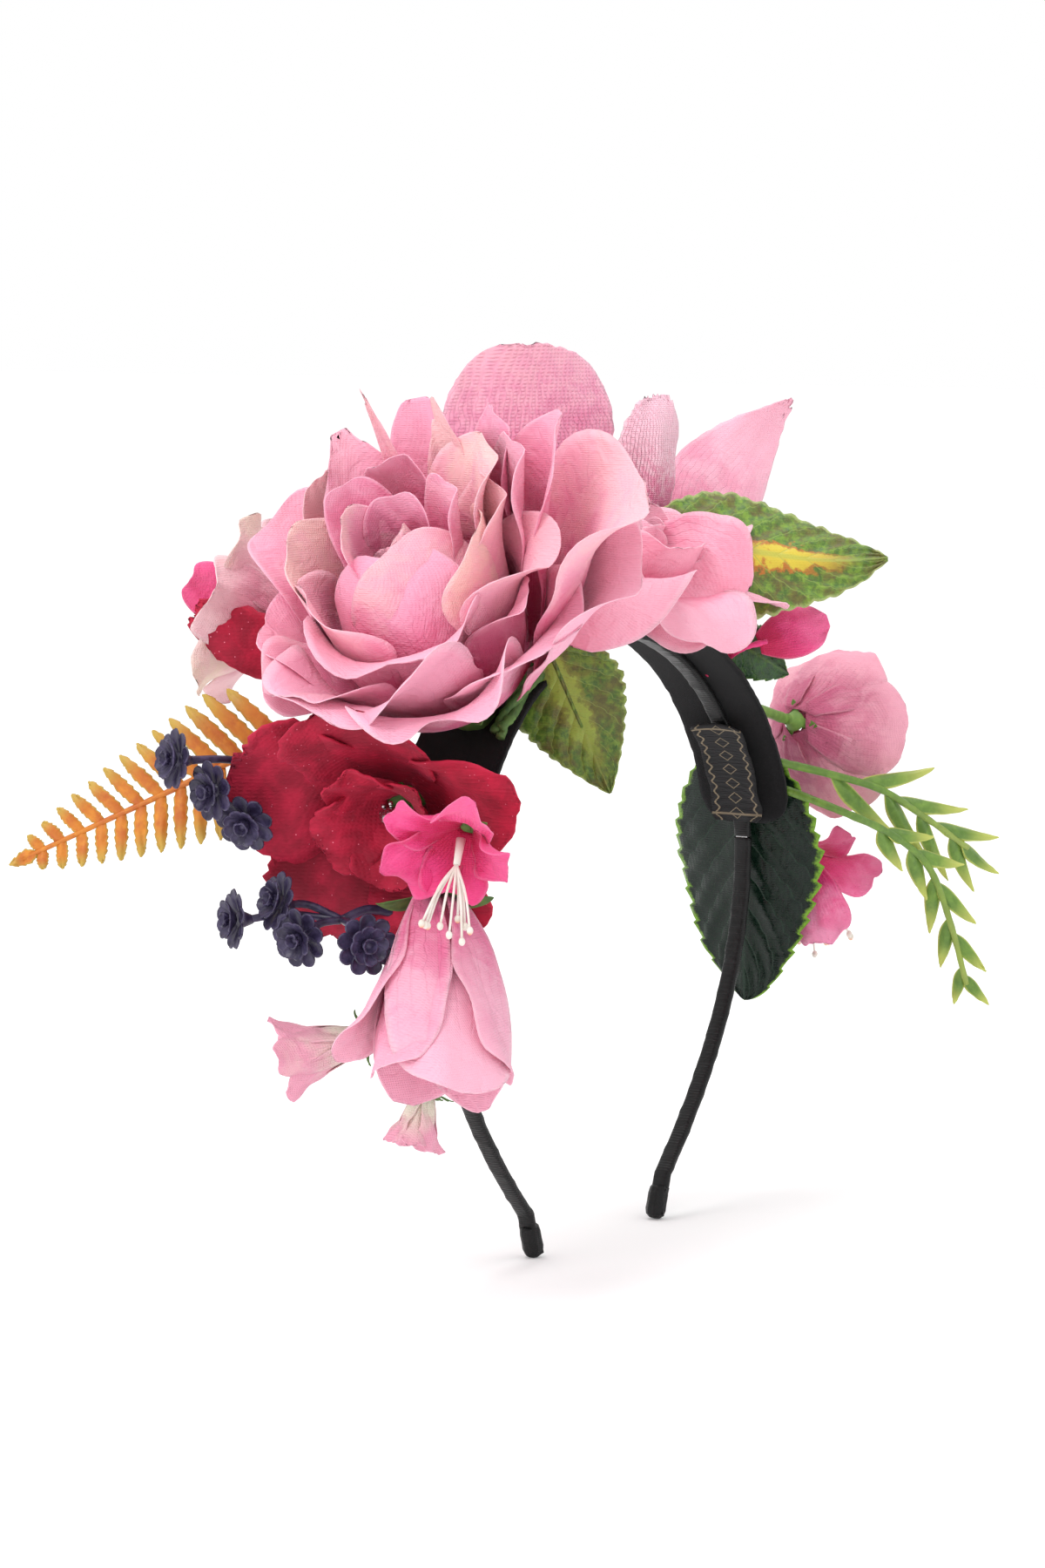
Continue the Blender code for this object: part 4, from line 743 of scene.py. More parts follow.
DUSTY_SILK = petal_cloth(
    "dusty_silk", (0.62, 0.13, 0.24), (0.82, 0.34, 0.44), (0.88, 0.48, 0.55), (0.86, 0.52, 0.54),
    dye=5 * MM, shine=0.7
)
DROOPING_SATIN = petal_cloth(
    "drooping_satin", (0.76, 0.15, 0.31), (0.89, 0.39, 0.53), (0.94, 0.66, 0.72), (0.88, 0.56, 0.62),
    veins=5.0, shine=0.42,
)
BLOSSOM_SILK = petal_cloth(
    "blossom_silk", (0.86, 0.78, 0.64), (0.84, 0.32, 0.46), (0.90, 0.48, 0.58), (0.9, 0.78, 0.72),
)
HOT_SILK = petal_cloth(
    "hot_pink_silk", (0.58, 0.01, 0.08), (0.82, 0.045, 0.22), (0.90, 0.24, 0.42), (0.92, 0.28, 0.48),
    shine=0.5,
)
CRIMSON_VELVET = velvet_cloth("crimson_velvet", (0.24, 0.0, 0.018), (0.56, 0.008, 0.05), (0.9, 0.25, 0.36))
GREEN_LEAF = leaf_cloth(
    "green_leaf_cloth", (0.06, 0.14, 0.015), (0.19, 0.33, 0.03), (0.13, 0.06, 0.02), (0.30, 0.42, 0.08),
    (0.42, 0.5, 0.18), blaze=(0.62, 0.50, 0.04), blaze_rim=(0.45, 0.16, 0.02),
)
HANGING_LEAF_CLOTH = leaf_cloth(
    "hanging_leaf_cloth", (0.05, 0.12, 0.012), (0.17, 0.28, 0.03), (0.12, 0.05, 0.02), (0.28, 0.36, 0.07),
    (0.32, 0.4, 0.1), blaze=(0.30, 0.42, 0.05), blaze_rim=(0.2, 0.22, 0.03), pairs=8.0,
)
DARK_LEAF = leaf_cloth(
    "dark_leaf_cloth", (0.002, 0.009, 0.005), (0.005, 0.018, 0.009), (0.004, 0.01, 0.008), (0.02, 0.05, 0.03),
    (0.24, 0.48, 0.03), shine=0.2, pairs=8.0, gloss=0.28,
)
SHOULDER_LEAF = leaf_cloth(
    "bright_leaf_cloth", (0.01, 0.05, 0.012), (0.04, 0.12, 0.02), (0.02, 0.05, 0.01), (0.10, 0.2, 0.04),
    (0.16, 0.32, 0.06)
)
SATIN = band_satin("band_satin", tone=0.006)
CAP_SATIN = band_satin("cap_satin", tone=0.005, shine=0.4, wrinkles=0.6)
FELT = backing_felt("backing_felt")
LABEL = label_weave("label_weave")
STEEL = spring_steel("spring_steel")
STEM_TAPE = moulded_plastic("stem_tape", (0.035, 0.085, 0.02), (0.12, 0.22, 0.05), shine=0.6)
BARE_STEM = moulded_plastic("bare_stem", (0.10, 0.22, 0.03), (0.22, 0.38, 0.07), shine=0.45)
CALYX_CLOTH = moulded_plastic("calyx_cloth", (0.06, 0.14, 0.03), (0.16, 0.28, 0.06), shine=0.65)
FERN_ORANGE = moulded_plastic(
    "fern_orange", (0.50, 0.12, 0.012), (0.70, 0.27, 0.025), tip=(0.50, 0.33, 0.05), shine=0.45,
)
PLUM = moulded_plastic(
    "plum_florets", (0.022, 0.016, 0.045), (0.085, 0.065, 0.15), shine=0.35, grain=0.9 * MM,
)
SPRAY_GREEN = moulded_plastic(
    "spray_green", (0.09, 0.19, 0.02), (0.20, 0.34, 0.05), tip=(0.52, 0.56, 0.12), shine=0.4,
)
STAMEN = moulded_plastic(
    "stamen_white", (0.75, 0.70, 0.62), (0.92, 0.88, 0.84), tip=(0.85, 0.30, 0.12), shine=0.4,
)
BEAD = bright_bead("bright_bead")


# ---------------------------------------------------------------- the band and its felt

HALF_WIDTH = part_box("spring_strip_crown")[1].x
SHOULDER = 88 * MM
SPLIT_HEIGHT = 92 * MM
STRIP_COLUMNS = 22
SATIN_HALF_THICK = 1.0 * MM
SATIN_HALF_WIDE = 2.25 * MM
ARCH_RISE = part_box("spring_strip_crown")[1].z - SHOULDER
KNEE = Vector((31 * MM, 0, 11 * MM))
TIP = Vector((27.5 * MM, 0, 1 * MM))


def half_band(side):
    """The band's middle line from the top of its arch down one side to the tip."""
    line = []
    for step in range(61):
        turn = math.pi / 2 * step / 60
        line.append(Vector((side * HALF_WIDTH * math.sin(turn), 0, SHOULDER + ARCH_RISE * math.cos(turn))))
    for step in range(1, 61):
        drop = step / 60
        across = HALF_WIDTH + (KNEE.x - HALF_WIDTH) * drop**2
        line.append(Vector((side * across, 0, SHOULDER + (KNEE.z - SHOULDER) * drop)))
    for step in range(1, 9):
        place = KNEE.lerp(TIP, step / 8)
        line.append(Vector((side * place.x, 0, place.z)))
    return line


def band_line():
    """The whole band, tip to tip, and how far each point is along it from the top."""
    line = half_band(-1)[:0:-1] + half_band(1)
    top = len(half_band(-1)) - 1
    runs = [0.0]
    for one, two in zip(line, line[1:]):
        runs.append(runs[-1] + (two - one).length)
    return line, [run - runs[top] for run in runs]


BAND, BAND_RUNS = band_line()


def on_band(run):
    """The point on the band's middle line at a run from its top."""
    return Vector([float(np.interp(run, BAND_RUNS, [point[axis] for point in BAND])) for axis in range(3)])


def band_at(run):
    """A place on the band's middle line: X along it to the right, Y to the back and Z outwards."""
    ahead = on_band(run + 1 * MM) - on_band(run - 1 * MM)
    return turned_to(ahead.cross(Vector((0, 1, 0))), ahead, on_band(run))


def sleeve(name, start, end, body, stands_for, corners=20):
    """Satin drawn over the spring strip, with slanting wrap folds and puckers."""
    piece = Piece(name)
    steps = int((end - start) / (0.8 * MM))
    last = None
    for step in range(steps + 1):
        run = start + (end - start) * step / steps
        here = band_at(run)
        ring = []
        for corner in range(corners):
            turn = math.tau * corner / corners
            wide = math.copysign(abs(math.cos(turn)) ** 0.55, math.cos(turn)) * SATIN_HALF_WIDE
            thick = math.copysign(abs(math.sin(turn)) ** 0.7, math.sin(turn)) * SATIN_HALF_THICK
            wrap = (run / (11 * MM) + corner / corners) % 1.0
            fold = 0.12 * MM * math.exp(-((wrap - 0.5) / 0.07) ** 2)
            pucker = 0.12 * MM * noise.noise(Vector((run * 420, math.cos(turn) * 1.5, math.sin(turn) * 1.5)))
            swell = 1 + (fold + pucker) / SATIN_HALF_THICK
            vert = piece.bm.verts.new(here @ Vector((0, wide * (1 + (swell - 1) * 0.4), thick * swell)))
            piece.mark(vert, across=corner / corners, along=step / steps, rim=0.0, tint=0.5)
            ring.append(vert)
        if last:
            for corner in range(corners):
                after = (corner + 1) % corners
                piece.bm.faces.new((last[corner], ring[corner], ring[after], last[after]))
        else:
            piece.bm.faces.new(ring)
        last = ring
    piece.bm.faces.new(last[::-1])
    piece.finish(SATIN, body, [stands_for])


def strip(
    name, start, length, wide, out, body, stands_for, material, thickness, corner=7 * MM,
    curl=0.0, fray=0.0, seed=0,
):
    """A flat piece of felt or ribbon laid along the band, with round corners and lifted edges."""
    piece = Piece(name)
    columns, rows = STRIP_COLUMNS, max(24, int(length / (1.6 * MM)))
    grid = bmesh.ops.create_grid(piece.bm, x_segments=columns, y_segments=rows, size=1.0)["verts"]
    for vert in grid:
        across, along = vert.co.x, (vert.co.y + 1) / 2
        from_end = min(along, 1 - along) * length
        trim = corner - math.sqrt(max(0.0, corner**2 - (corner - min(from_end, corner)) ** 2))
        half = wide / 2 - trim * 0.999
        half += fray * noise.noise(Vector((along * 60, math.copysign(3, across), seed)))
        aside = across * half
        unevenness = noise.noise(Vector((along * 5, math.copysign(2, across), seed + 7)))
        lift = curl * abs(across) ** 3 * (0.4 + unevenness)
        lift += curl * 0.8 * (smooth(0.1, 0.0, along) + smooth(0.9, 1.0, along)) * abs(across)
        lift += 0.25 * MM * noise.noise(Vector((aside * 120, along * length * 120, seed)))
        vert.co = band_at(start + along * length) @ Vector((0, aside, out + lift))
        rim = max(abs(across), 1 - from_end / (3 * MM))
        piece.mark(vert, across=across, along=along, rim=max(0.0, rim), tint=0.5)
    laid = piece.cloth_area()
    made = piece.finish(material, body, [stands_for], thickness=thickness)




def centre_line(node, foot, bins=6):
    """The middle line of a stem: from its far end to a foot at the flower."""
    places = sorted(points_of(node), key=lambda place: (place - foot).length)
    share = max(3, len(places) // 12)
    root = sum(places[-share:], Vector()) / share
    ahead = root - foot
    line = [root]
    for step in range(1, bins):
        low, high = 1 - (step + 0.5) / bins, 1 - (step - 0.5) / bins
        near = [p for p in places if low <= (p - foot).dot(ahead) / ahead.length_squared < high]
        if near:
            line.append(sum(near, Vector()) / len(near))
    return [*line, foot.copy()]


def calyx(name, node, place, body, radius, cup, sepal, material=None, sepals=5, seed=0):
    """A taped stem that opens in a cup with sepals behind a flower."""
    piece = Piece(name)
    foot = place.translation
    tube(piece, round_route(centre_line(node, foot)), radius, knots=0.25, seed=seed)
    profile = [
        (cup * 0.9, 0.0), (cup, -0.1 * cup), (cup * 0.8, -0.55 * cup), (cup * 0.45, -1.1 * cup),
        (radius, -1.5 * cup),
    ]
    spun(piece, place, profile, lobes=sepals, lobe=0.06)
    for number in range(sepals):
        sheet_of_cloth(
            piece, place @ Matrix.Rotation(
                math.tau * number / sepals, 4, "Z",
            ) @ Matrix.Translation((cup * 0.6, 0, -0.2 * cup)),
            sepal, sepal * 0.55, lean_from=60, lean_to=80, hook=20, wrap=sepal * 0.7, broad=0.35, tip=1.4,
            point=0.8, stalk=0.7, rows=10, columns=6, wobble=0.3 * MM, seed=seed + number,
        )
    piece.finish(material or CALYX_CLOTH, body, [node], thickness=CLOTH)


IN_MM = ("length", "width", "wrap", "ruffle", "wobble", "quilt")


def in_metres(shape):
    return {name: value * MM if name in IN_MM else value for name, value in shape.items()}


def cut(length, width, lean_from=0.0, lean_to=0.0, **more):
    """How one petal is cut and bent, with its sizes given in mm."""
    return in_metres({"length": length, "width": width, "lean_from": lean_from, "lean_to": lean_to, **more})


def flower(name, place, petals, material, body, stands_for, slot, seed=0, thickness=CLOTH):
    """A whorl of petals, each given as its turn, how far out and up its root is in mm, and its cut."""
    piece = Piece(name)
    for number, (turn, out, up, shape) in enumerate(petals):
        petal(piece, place, turn, (out * MM, up * MM), **{"seed": seed + number, **shape})
    piece.finish(material, body, stands_for, thickness=thickness)


SPLIT_RUN = next(run for point, run in zip(BAND, BAND_RUNS) if run > 0 and point.z <= SPLIT_HEIGHT)
END_RUN = BAND_RUNS[-1]
SEAM = 0.35 * MM
FELT_OUT = 1.9 * MM
FELT_THICKNESS = 1.1 * MM
FELT_START = -94.8 * MM
FELT_LENGTH = 189.6 * MM
FELT_WIDTH = 25 * MM
LEG_PATCH_START = -146.8 * MM
LEG_PATCH_LENGTH = 48 * MM
LEG_PATCH_WIDTH = 19 * MM
LABEL_START = 64.5 * MM
LABEL_LENGTH = 29 * MM
LABEL_WIDTH = 14 * MM

sleeve("crown_sleeve", -SPLIT_RUN, SPLIT_RUN, "crown", "satin_sleeve_crown")
sleeve("left_leg_sleeve", -END_RUN, -SPLIT_RUN - SEAM, "left_leg", "satin_sleeve_left_leg")
sleeve("right_leg_sleeve", SPLIT_RUN + SEAM, END_RUN, "right_leg", "satin_sleeve_right_leg")

strip(
    "felt_backing", FELT_START, FELT_LENGTH, FELT_WIDTH, FELT_OUT, "crown", "felt_crown",
    FELT, FELT_THICKNESS, curl=0.5 * MM, fray=0.5 * MM, seed=3,
)
strip(
    "felt_leg_patch", LEG_PATCH_START, LEG_PATCH_LENGTH, LEG_PATCH_WIDTH, FELT_OUT, "left_leg",
    "felt_left_leg", FELT, FELT_THICKNESS, curl=0.4 * MM, fray=0.5 * MM,
    seed=9,
)
strip(
    "label", LABEL_START, LABEL_LENGTH, LABEL_WIDTH, -FELT_OUT, "crown", "woven_label", LABEL,
    0.45 * MM, corner=1.2 * MM, curl=-1.1 * MM, fray=0.25 * MM, seed=5,
)


def tip_cap(name, node, side, body):
    """The satin gathered over a tip and folded back on itself."""
    piece = Piece(name)
    low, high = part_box(node)
    centre = (low + high) / 2
    profile = [
        (2.3 * MM, 4.1 * MM), (2.7 * MM, 3.6 * MM), (2.95 * MM, 2.0 * MM), (2.9 * MM, 0.0),
        (3.0 * MM, -1.8 * MM),
        (2.6 * MM, -3.1 * MM), (1.5 * MM, -3.9 * MM), (0.3 * MM, -4.0 * MM),
    ]
    lean = Matrix.Rotation(math.radians(side * 18), 4, "Y")
    slim = Matrix.Diagonal((0.84, 0.84, 1, 1))
    spun(piece, Matrix.Translation(centre) @ lean @ slim, profile, steps=36, lobes=9, lobe=0.035)
    sheet_of_cloth(
        piece, Matrix.Translation(centre) @ lean @ Matrix.Rotation(math.radians(-90 + side * 40), 4, "Z")
        @ Matrix.Translation((2.3 * MM, 0, -3 * MM)), 7 * MM, 4.6 * MM, lean_from=-6, lean_to=6, wrap=3.2 * MM,
        broad=0.5,
        tip=6, point=0.3, stalk=0.9, rows=12, columns=10, wobble=0.3 * MM, seed=4,
    )
    piece.finish(CAP_SATIN, body, [node])


tip_cap("left_tip_cap", "tip_cap_left", -1, "left_leg")
tip_cap("right_tip_cap", "tip_cap_right", 1, "right_leg")

for node in ("spring_strip_crown", "spring_strip_left_leg", "spring_strip_right_leg"):
    NODES[node].data.materials.clear()
    NODES[node].data.materials.append(STEEL)

# ---------------------------------------------------------------- the peony

PEONY = turned_flower_place("peony_calyx", "peony_heart")

flower("peony_heart_silk", PEONY, [
    (-25, 4, 5, cut(40, 24, 6, -14, wrap=9, ruffle=1.4, tint=0.3, patch=0.3)),
    (60, 5, 5, cut(44, 24, 8, -8, wrap=9, ruffle=1.5, tint=0.4, patch=0.8)),
    (140, 6, 5, cut(48, 24, 10, -2, wrap=10, ruffle=1.5, tint=0.15)),
    (-140, 6, 5, cut(48, 26, 12, -4, wrap=10, ruffle=1.6, tint=0.3, patch=0.6)),
    (100, 9, 5, cut(48, 22, 12, 4, wrap=11, ruffle=1.6, hook=20, tint=0.2, patch=0.2)),
    (-170, 9, 5, cut(50, 22, 14, 6, wrap=12, ruffle=1.6, hook=10, tint=0.1)),
], PEONY_SILK, "crown", ["peony_heart"], "petal_pink", seed=10)

flower("peony_inner_silk", PEONY, [
    (
        -30, 12, 5,
        cut(50, 47, 34, -54, wrap=20, hook=-26, ruffle=0.8, broad=0.55, tip=2.8, tint=0.66, notch=0.06),
    ),
    (12, 11, 5, cut(47, 40, 28, -36, wrap=18, hook=-6, ruffle=1.8, broad=0.58, tint=0.55, patch=0.4)),
    (62, 13, 5, cut(43, 35, 28, -2, wrap=19, hook=6, ruffle=1.6, tip=2.8, tint=0.75, patch=0.9)),
    (-84, 13, 4, cut(43, 40, 34, -10, wrap=20, hook=16, ruffle=2.2, tint=0.65, patch=0.3)),
    (-130, 13, 4, cut(47, 34, 28, 2, wrap=18, hook=10, ruffle=2.0, tint=0.6, patch=0.8)),
    (112, 12, 3, cut(54, 30, 20, 10, wrap=17, hook=48, ruffle=2.2, tint=0.6, patch=0.7)),
    (160, 12, 3, cut(53, 22, 22, 16, wrap=10, hook=-34, ruffle=1.6, tint=0.15)),
], PEONY_SILK, "crown", ["peony_inner_petals"], "petal_pink", seed=30)

flower("peony_middle_silk", PEONY, [
    (178, 13, 3, cut(
        58, 32, 24, 18, wrap=20, ruffle=1.8, broad=0.5, tip=1.5, point=0.85, ragged=0.06, tint=0.62,
        patch=0.15,
    )),
    (93, 15, 3, cut(55, 27, 26, 20, wrap=20, ruffle=1.4, broad=0.62, tint=0.75, patch=0.1)),
    (90, 19, 2, cut(60, 24, 28, 24, wrap=16, hook=8, ruffle=1.8, tint=0.4, patch=0.1)),
    (133, 16, 3, cut(
        60, 15, 20, 16, wrap=10, hook=-10, ruffle=1.6, broad=0.5, tip=1.5, point=0.8, ragged=0.05,
        tint=0.85, patch=0.6,
    )),
    (112, 17, 3, cut(57, 20, 22, 18, wrap=12, hook=12, ruffle=1.8, tint=0.2)),
    (150, 17, 2, cut(58, 22, 26, 20, wrap=14, hook=14, ruffle=1.8, tint=0.45)),
    (161, 16, 3, cut(
        66, 9, 18, 14, wrap=8, hook=-14, broad=0.35, tip=1.1, point=1.1, tint=0.8, patch=0.5, ragged=0.05,
    )),
    (76, 17, 0, cut(56, 54, 48, 34, wrap=27, hook=50, ruffle=2.4, broad=0.68, tint=0.7, patch=0.4)),
    (84, 14, 4, cut(46, 34, 22, 6, wrap=17, hook=22, ruffle=2.4, tint=0.75, patch=0.5)),
    (56, 14, 3, cut(43, 36, 32, 16, wrap=18, hook=66, ruffle=2.4, tint=0.72, patch=0.3)),
    (
        40, 16, 3,
        cut(38, 26, 30, 20, wrap=13, hook=50, ruffle=2.2, broad=0.5, tip=1.5, point=0.8, tint=0.5, patch=0.1),
    ),
    (-152, 16, 0, cut(52, 38, 38, 26, wrap=20, hook=14, ruffle=2.2, tint=0.5, patch=0.1)),
    (-166, 14, 1, cut(56, 22, 32, 24, wrap=12, hook=-46, ruffle=1.4, tint=0.9, patch=0.5)),
    (-112, 15, 0, cut(40, 38, 40, 24, wrap=22, hook=18, ruffle=2.4, tint=0.45, patch=0.1)),
    (-74, 15, 2, cut(39, 40, 40, 26, wrap=22, hook=46, ruffle=2.6, tint=0.68, patch=0.2)),
    (-18, 14, 5, cut(33, 58, 26, 6, wrap=24, hook=84, ruffle=2.8, waves=4, tint=0.85, patch=0.1)),
], PEONY_SILK, "crown", ["peony_middle_petals"], "petal_pink", seed=50)

flower("peony_lip_silk", PEONY, [
    (-44, 15, 4, cut(36, 58, 42, 28, wrap=32, hook=66, ruffle=2.8, waves=4, tint=0.85)),
    (-10, 15, 2, cut(36, 46, 48, 44, wrap=28, hook=56, ruffle=2.4, notch=0.10, tint=0.75)),
    (34, 15, 2, cut(36, 46, 46, 40, wrap=28, hook=54, ruffle=2.2, tint=0.7)),
    (66, 15, 0, cut(45, 50, 56, 50, wrap=36, hook=36, ruffle=1.6, tint=0.82)),
    (110, 14, -1, cut(44, 44, 60, 52, wrap=30, hook=20, ruffle=2.4, tint=0.5)),
    (-98, 14, 0, cut(36, 42, 50, 38, wrap=26, hook=30, ruffle=2.6, tint=0.65)),
    (-135, 14, -1, cut(38, 42, 50, 38, wrap=26, hook=16, ruffle=2.4, tint=0.5)),
    (150, 14, -1, cut(44, 42, 54, 48, wrap=28, hook=20, ruffle=2.4, tint=0.45)),
    (-174, 14, -1, cut(45, 42, 52, 44, wrap=28, hook=20, ruffle=2.4, tint=0.4)),
], LIP_SILK, "crown", ["peony_outer_petals"], "petal_pink", seed=70)

calyx("peony_stem", "peony_calyx", PEONY, "crown", 1.8 * MM, 8 * MM, 14 * MM, seed=1)

# ---------------------------------------------------------------- the crown rose and the petals behind it

CROWN_ROSE = turned_flower_place("crown_rose_calyx", "crown_rose_inner_petals")

flower("crown_rose_inner_silk", CROWN_ROSE, [
    (-20, 4, 0, cut(20, 22, 8, -8, wrap=8, ruffle=1.2, tint=0.3)),
    (90, 4, 0, cut(20, 22, 10, -4, wrap=8, ruffle=1.2, tint=0.4)),
    (190, 5, 0, cut(22, 24, 10, 0, wrap=9, ruffle=1.4, tint=0.3)),
    (38, 8, 0, cut(22, 28, 34, 20, wrap=14, ruffle=1.4, hook=24, tint=0.6)),
    (-50, 8, 0, cut(26, 30, 34, 20, wrap=14, ruffle=1.6, hook=24, tint=0.6)),
    (130, 8, 0, cut(24, 30, 34, 26, wrap=15, ruffle=1.4, hook=20, tint=0.5)),
    (-130, 8, 0, cut(26, 30, 34, 24, wrap=15, ruffle=1.4, hook=20, tint=0.5)),
], ROSE_SILK, "crown", ["crown_rose_inner_petals"], "petal_pale", seed=100)

flower("crown_rose_outer_silk", CROWN_ROSE, [
    (-6, 9, 0, cut(58, 46, 46, 134, wrap=30, hook=26, ruffle=1.6, broad=0.62, tint=0.8, patch=0.1)),
    (80, 0, 8, cut(30, 38, 78, 92, wrap=36, hook=20, ruffle=2.4, roll=62, tint=0.8, patch=0.6)),
    (40, 8, 2, cut(34, 36, 60, 116, wrap=34, hook=16, ruffle=2.2, tint=0.7, patch=0.3)),
    (118, 9, 0, cut(34, 38, 62, 84, wrap=28, hook=24, ruffle=2.0, tint=0.6, patch=0.3)),
    (165, 9, 0, cut(38, 40, 56, 66, wrap=28, hook=20, ruffle=2.0, tint=0.6)),
    (-130, 9, 0, cut(38, 40, 56, 66, wrap=28, hook=24, ruffle=2.0, tint=0.6)),
    (-70, 9, 0, cut(40, 42, 56, 96, wrap=30, hook=30, ruffle=2.2, tint=0.7, patch=0.2)),
], ROSE_SILK, "crown", ["crown_rose_outer_petals"], "petal_pale", seed=120)

calyx("crown_rose_stem", "crown_rose_calyx", CROWN_ROSE, "crown", 1.8 * MM, 6 * MM, 11 * MM, seed=21)

CROWN_SEAT = CROWN_ROSE.translation


def nudged(place, shift, tilt):
    """A place moved across and up the view by so many mm, and tilted clockwise in it by degrees."""
    right, up = shift
    move = Matrix.Translation(place.translation + (VIEW_RIGHT * right + VIEW_UP * up) * MM)
    turn = Matrix.Rotation(math.radians(-tilt), 4, TOWARDS_VIEWER)
    return move @ turn @ place.to_3x3().to_4x4()


def twisted_root(name, root, ahead, thick, material):
    """The twisted end of a loose petal, drawn in to the felt on the band."""
    piece = Piece(name)
    nearest = min(BAND, key=lambda place: (place - root).length)
    outwards = (root - nearest).normalized()
    seat = nearest + outwards * 3 * MM
    bend = root - ahead * min(6 * MM, (root - seat).length * 0.4)
    tube(piece, round_route([seat, bend, root + ahead * 2 * MM]), thick, knots=0.5, taper=0.8)
    piece.finish(material, "crown")


def lone_petal(
    name, node, near, material, slot, length_share=1.04, seed=0, shift=(0, 0), tilt=0.0, **shape,
):
    """One separate petal, set where its CAD node is, from its root near a point to its tip."""
    place, length = blade_place(node, near)
    place = nudged(place, shift, tilt)
    piece = Piece(name)
    shape = in_metres(shape)
    sheet_of_cloth(piece, place, length * length_share, seed=seed, **shape)
    laid = piece.cloth_area()
    twisted_root(
        name + "_root", place.translation, place.to_3x3() @ Vector((0, 0, 1)), 0.9 * MM, material,
    )
    made = piece.finish(material, "crown", [node], thickness=CLOTH)


lone_petal(
    "back_petal", "crown_rose_back_petal", CROWN_SEAT, BACK_SILK, "petal_dusty", seed=141,
    length_share=1.12, shift=(0.5, -10), tilt=16, width=44, wrap=40, broad=0.5, tip=2.2, lean_from=4,
    lean_to=-10, hook=10, ruffle=1.2, ragged=0.015, stalk=0.6, tint=0.4, patch=0.2, rows=44, columns=30,
)
lone_petal(
    "velvet_petal_cloth", "velvet_petal", Vector((34 * MM, 2 * MM, 160 * MM)), SLIT_VELVET, "petal_pale",
    seed=151, tilt=8, width=18, wrap=10, broad=0.5, tip=1.8, lean_from=2, lean_to=-4, hook=-14, ruffle=1.3,
    ragged=0.05, stalk=0.4, tint=0.7, patch=0.3, rows=36, columns=18, fold=0.2,
)
lone_petal(
    "shoulder_petal_cloth", "shoulder_petal", Vector((40 * MM, 0, 160 * MM)), ROSE_SILK, "petal_dusty",
    seed=161, length_share=1.03, tilt=-9, width=30, wrap=30, broad=0.42, tip=1.3, point=0.95, lean_from=-6,
    lean_to=8, hook=34, ruffle=1.4, ragged=0.04, stalk=0.35, tint=0.6, patch=0.3, rows=40, columns=24,
    fold=-0.12,
)
lone_petal(
    "hot_petal_cloth", "hot_pink_petal", Vector((50 * MM, -14 * MM, 138 * MM)), HOT_SILK, "petal_hot",
    seed=171, length_share=0.95, width=13, wrap=12, broad=0.55, lean_from=0, lean_to=8, hook=20, ruffle=1.2,
    stalk=0.4, tint=0.6, patch=0.3, fold=0.1,
)

# ---------------------------------------------------------------- the crimson flower and the left fuchsia


def facing_place(lower, upper):
    """The place of a flower that faces the viewer: its X runs up the view, so turn 90 is to the left."""
    place = turned_flower_place(lower, upper)
    axis = place.to_3x3() @ Vector((0, 0, 1))
    return turned_to(axis, VIEW_UP, place.translation)


CRIMSON = nudged(facing_place("crimson_calyx", "crimson_outer_petals"), (-1, -2.7), 0)

flower("crimson_outer_velvet", CRIMSON, [
    (60, 5, 0.5, cut(36, 40, 58, 68, wrap=34, hook=14, ruffle=2.6, ragged=0.07, tint=0.5)),
    (0, 5, 0, cut(32, 38, 54, 62, wrap=30, hook=16, ruffle=2.2, ragged=0.05, tint=0.4)),
    (134, 5, 0, cut(34, 36, 60, 74, wrap=30, hook=18, ruffle=2.4, ragged=0.08, tint=0.3)),
    (200, 5, 0.5, cut(29, 34, 58, 76, wrap=28, hook=18, ruffle=2.2, ragged=0.05, tint=0.5)),
    (-74, 5, 0, cut(
        38, 30, 56, 70, wrap=24, hook=20, ruffle=2.2, broad=0.5, tip=1.8, point=0.7, ragged=0.04, tint=0.6,
    )),
], CRIMSON_VELVET, "crown", ["crimson_outer_petals"], "petal_crimson", seed=200, thickness=0.5 * MM)

flower("crimson_inner_velvet", CRIMSON, [
    (20, 3, 1.5, cut(19, 20, 42, 46, wrap=14, hook=10, ruffle=1.2, ragged=0.04, tint=0.7)),
    (100, 3, 1.5, cut(19, 20, 44, 50, wrap=14, hook=14, ruffle=1.4, ragged=0.05, tint=0.5)),
    (170, 3, 1.5, cut(17, 19, 44, 54, wrap=13, hook=10, ruffle=1.2, ragged=0.04, tint=0.6)),
    (-60, 3, 1.5, cut(18, 19, 40, 44, wrap=13, hook=10, ruffle=1.2, ragged=0.04, tint=0.45)),
    (-130, 3, 1.5, cut(17, 19, 42, 50, wrap=13, hook=10, ruffle=1.0, ragged=0.04, tint=0.8)),
], CRIMSON_VELVET, "crown", ["crimson_inner_petals"], "petal_crimson", seed=220, thickness=0.5 * MM)

calyx("crimson_stem", "crimson_calyx", CRIMSON, "crown", 1.7 * MM, 4 * MM, 7 * MM, seed=31)

piece = Piece("crimson_centre_bead")
bead_axis = CRIMSON.to_3x3() @ Vector((0, 0, 1))
bead_centre = CRIMSON.translation + bead_axis * 6.5 * MM
bead(piece, bead_centre, 3.0 * MM, squash=0.8)
tube(piece, [bead_centre - bead_axis * step * 1.5 * MM for step in range(6)], 0.7 * MM)
for number in range(9):
    turn = math.tau * number / 9
    aside = CRIMSON.to_3x3() @ Vector((math.cos(turn), math.sin(turn), 0))
    bead(piece, bead_centre - bead_axis * 0.8 * MM + aside * 3.1 * MM, 0.6 * MM, steps=8)
piece.finish(BEAD, "crown", ["crimson_bead"])


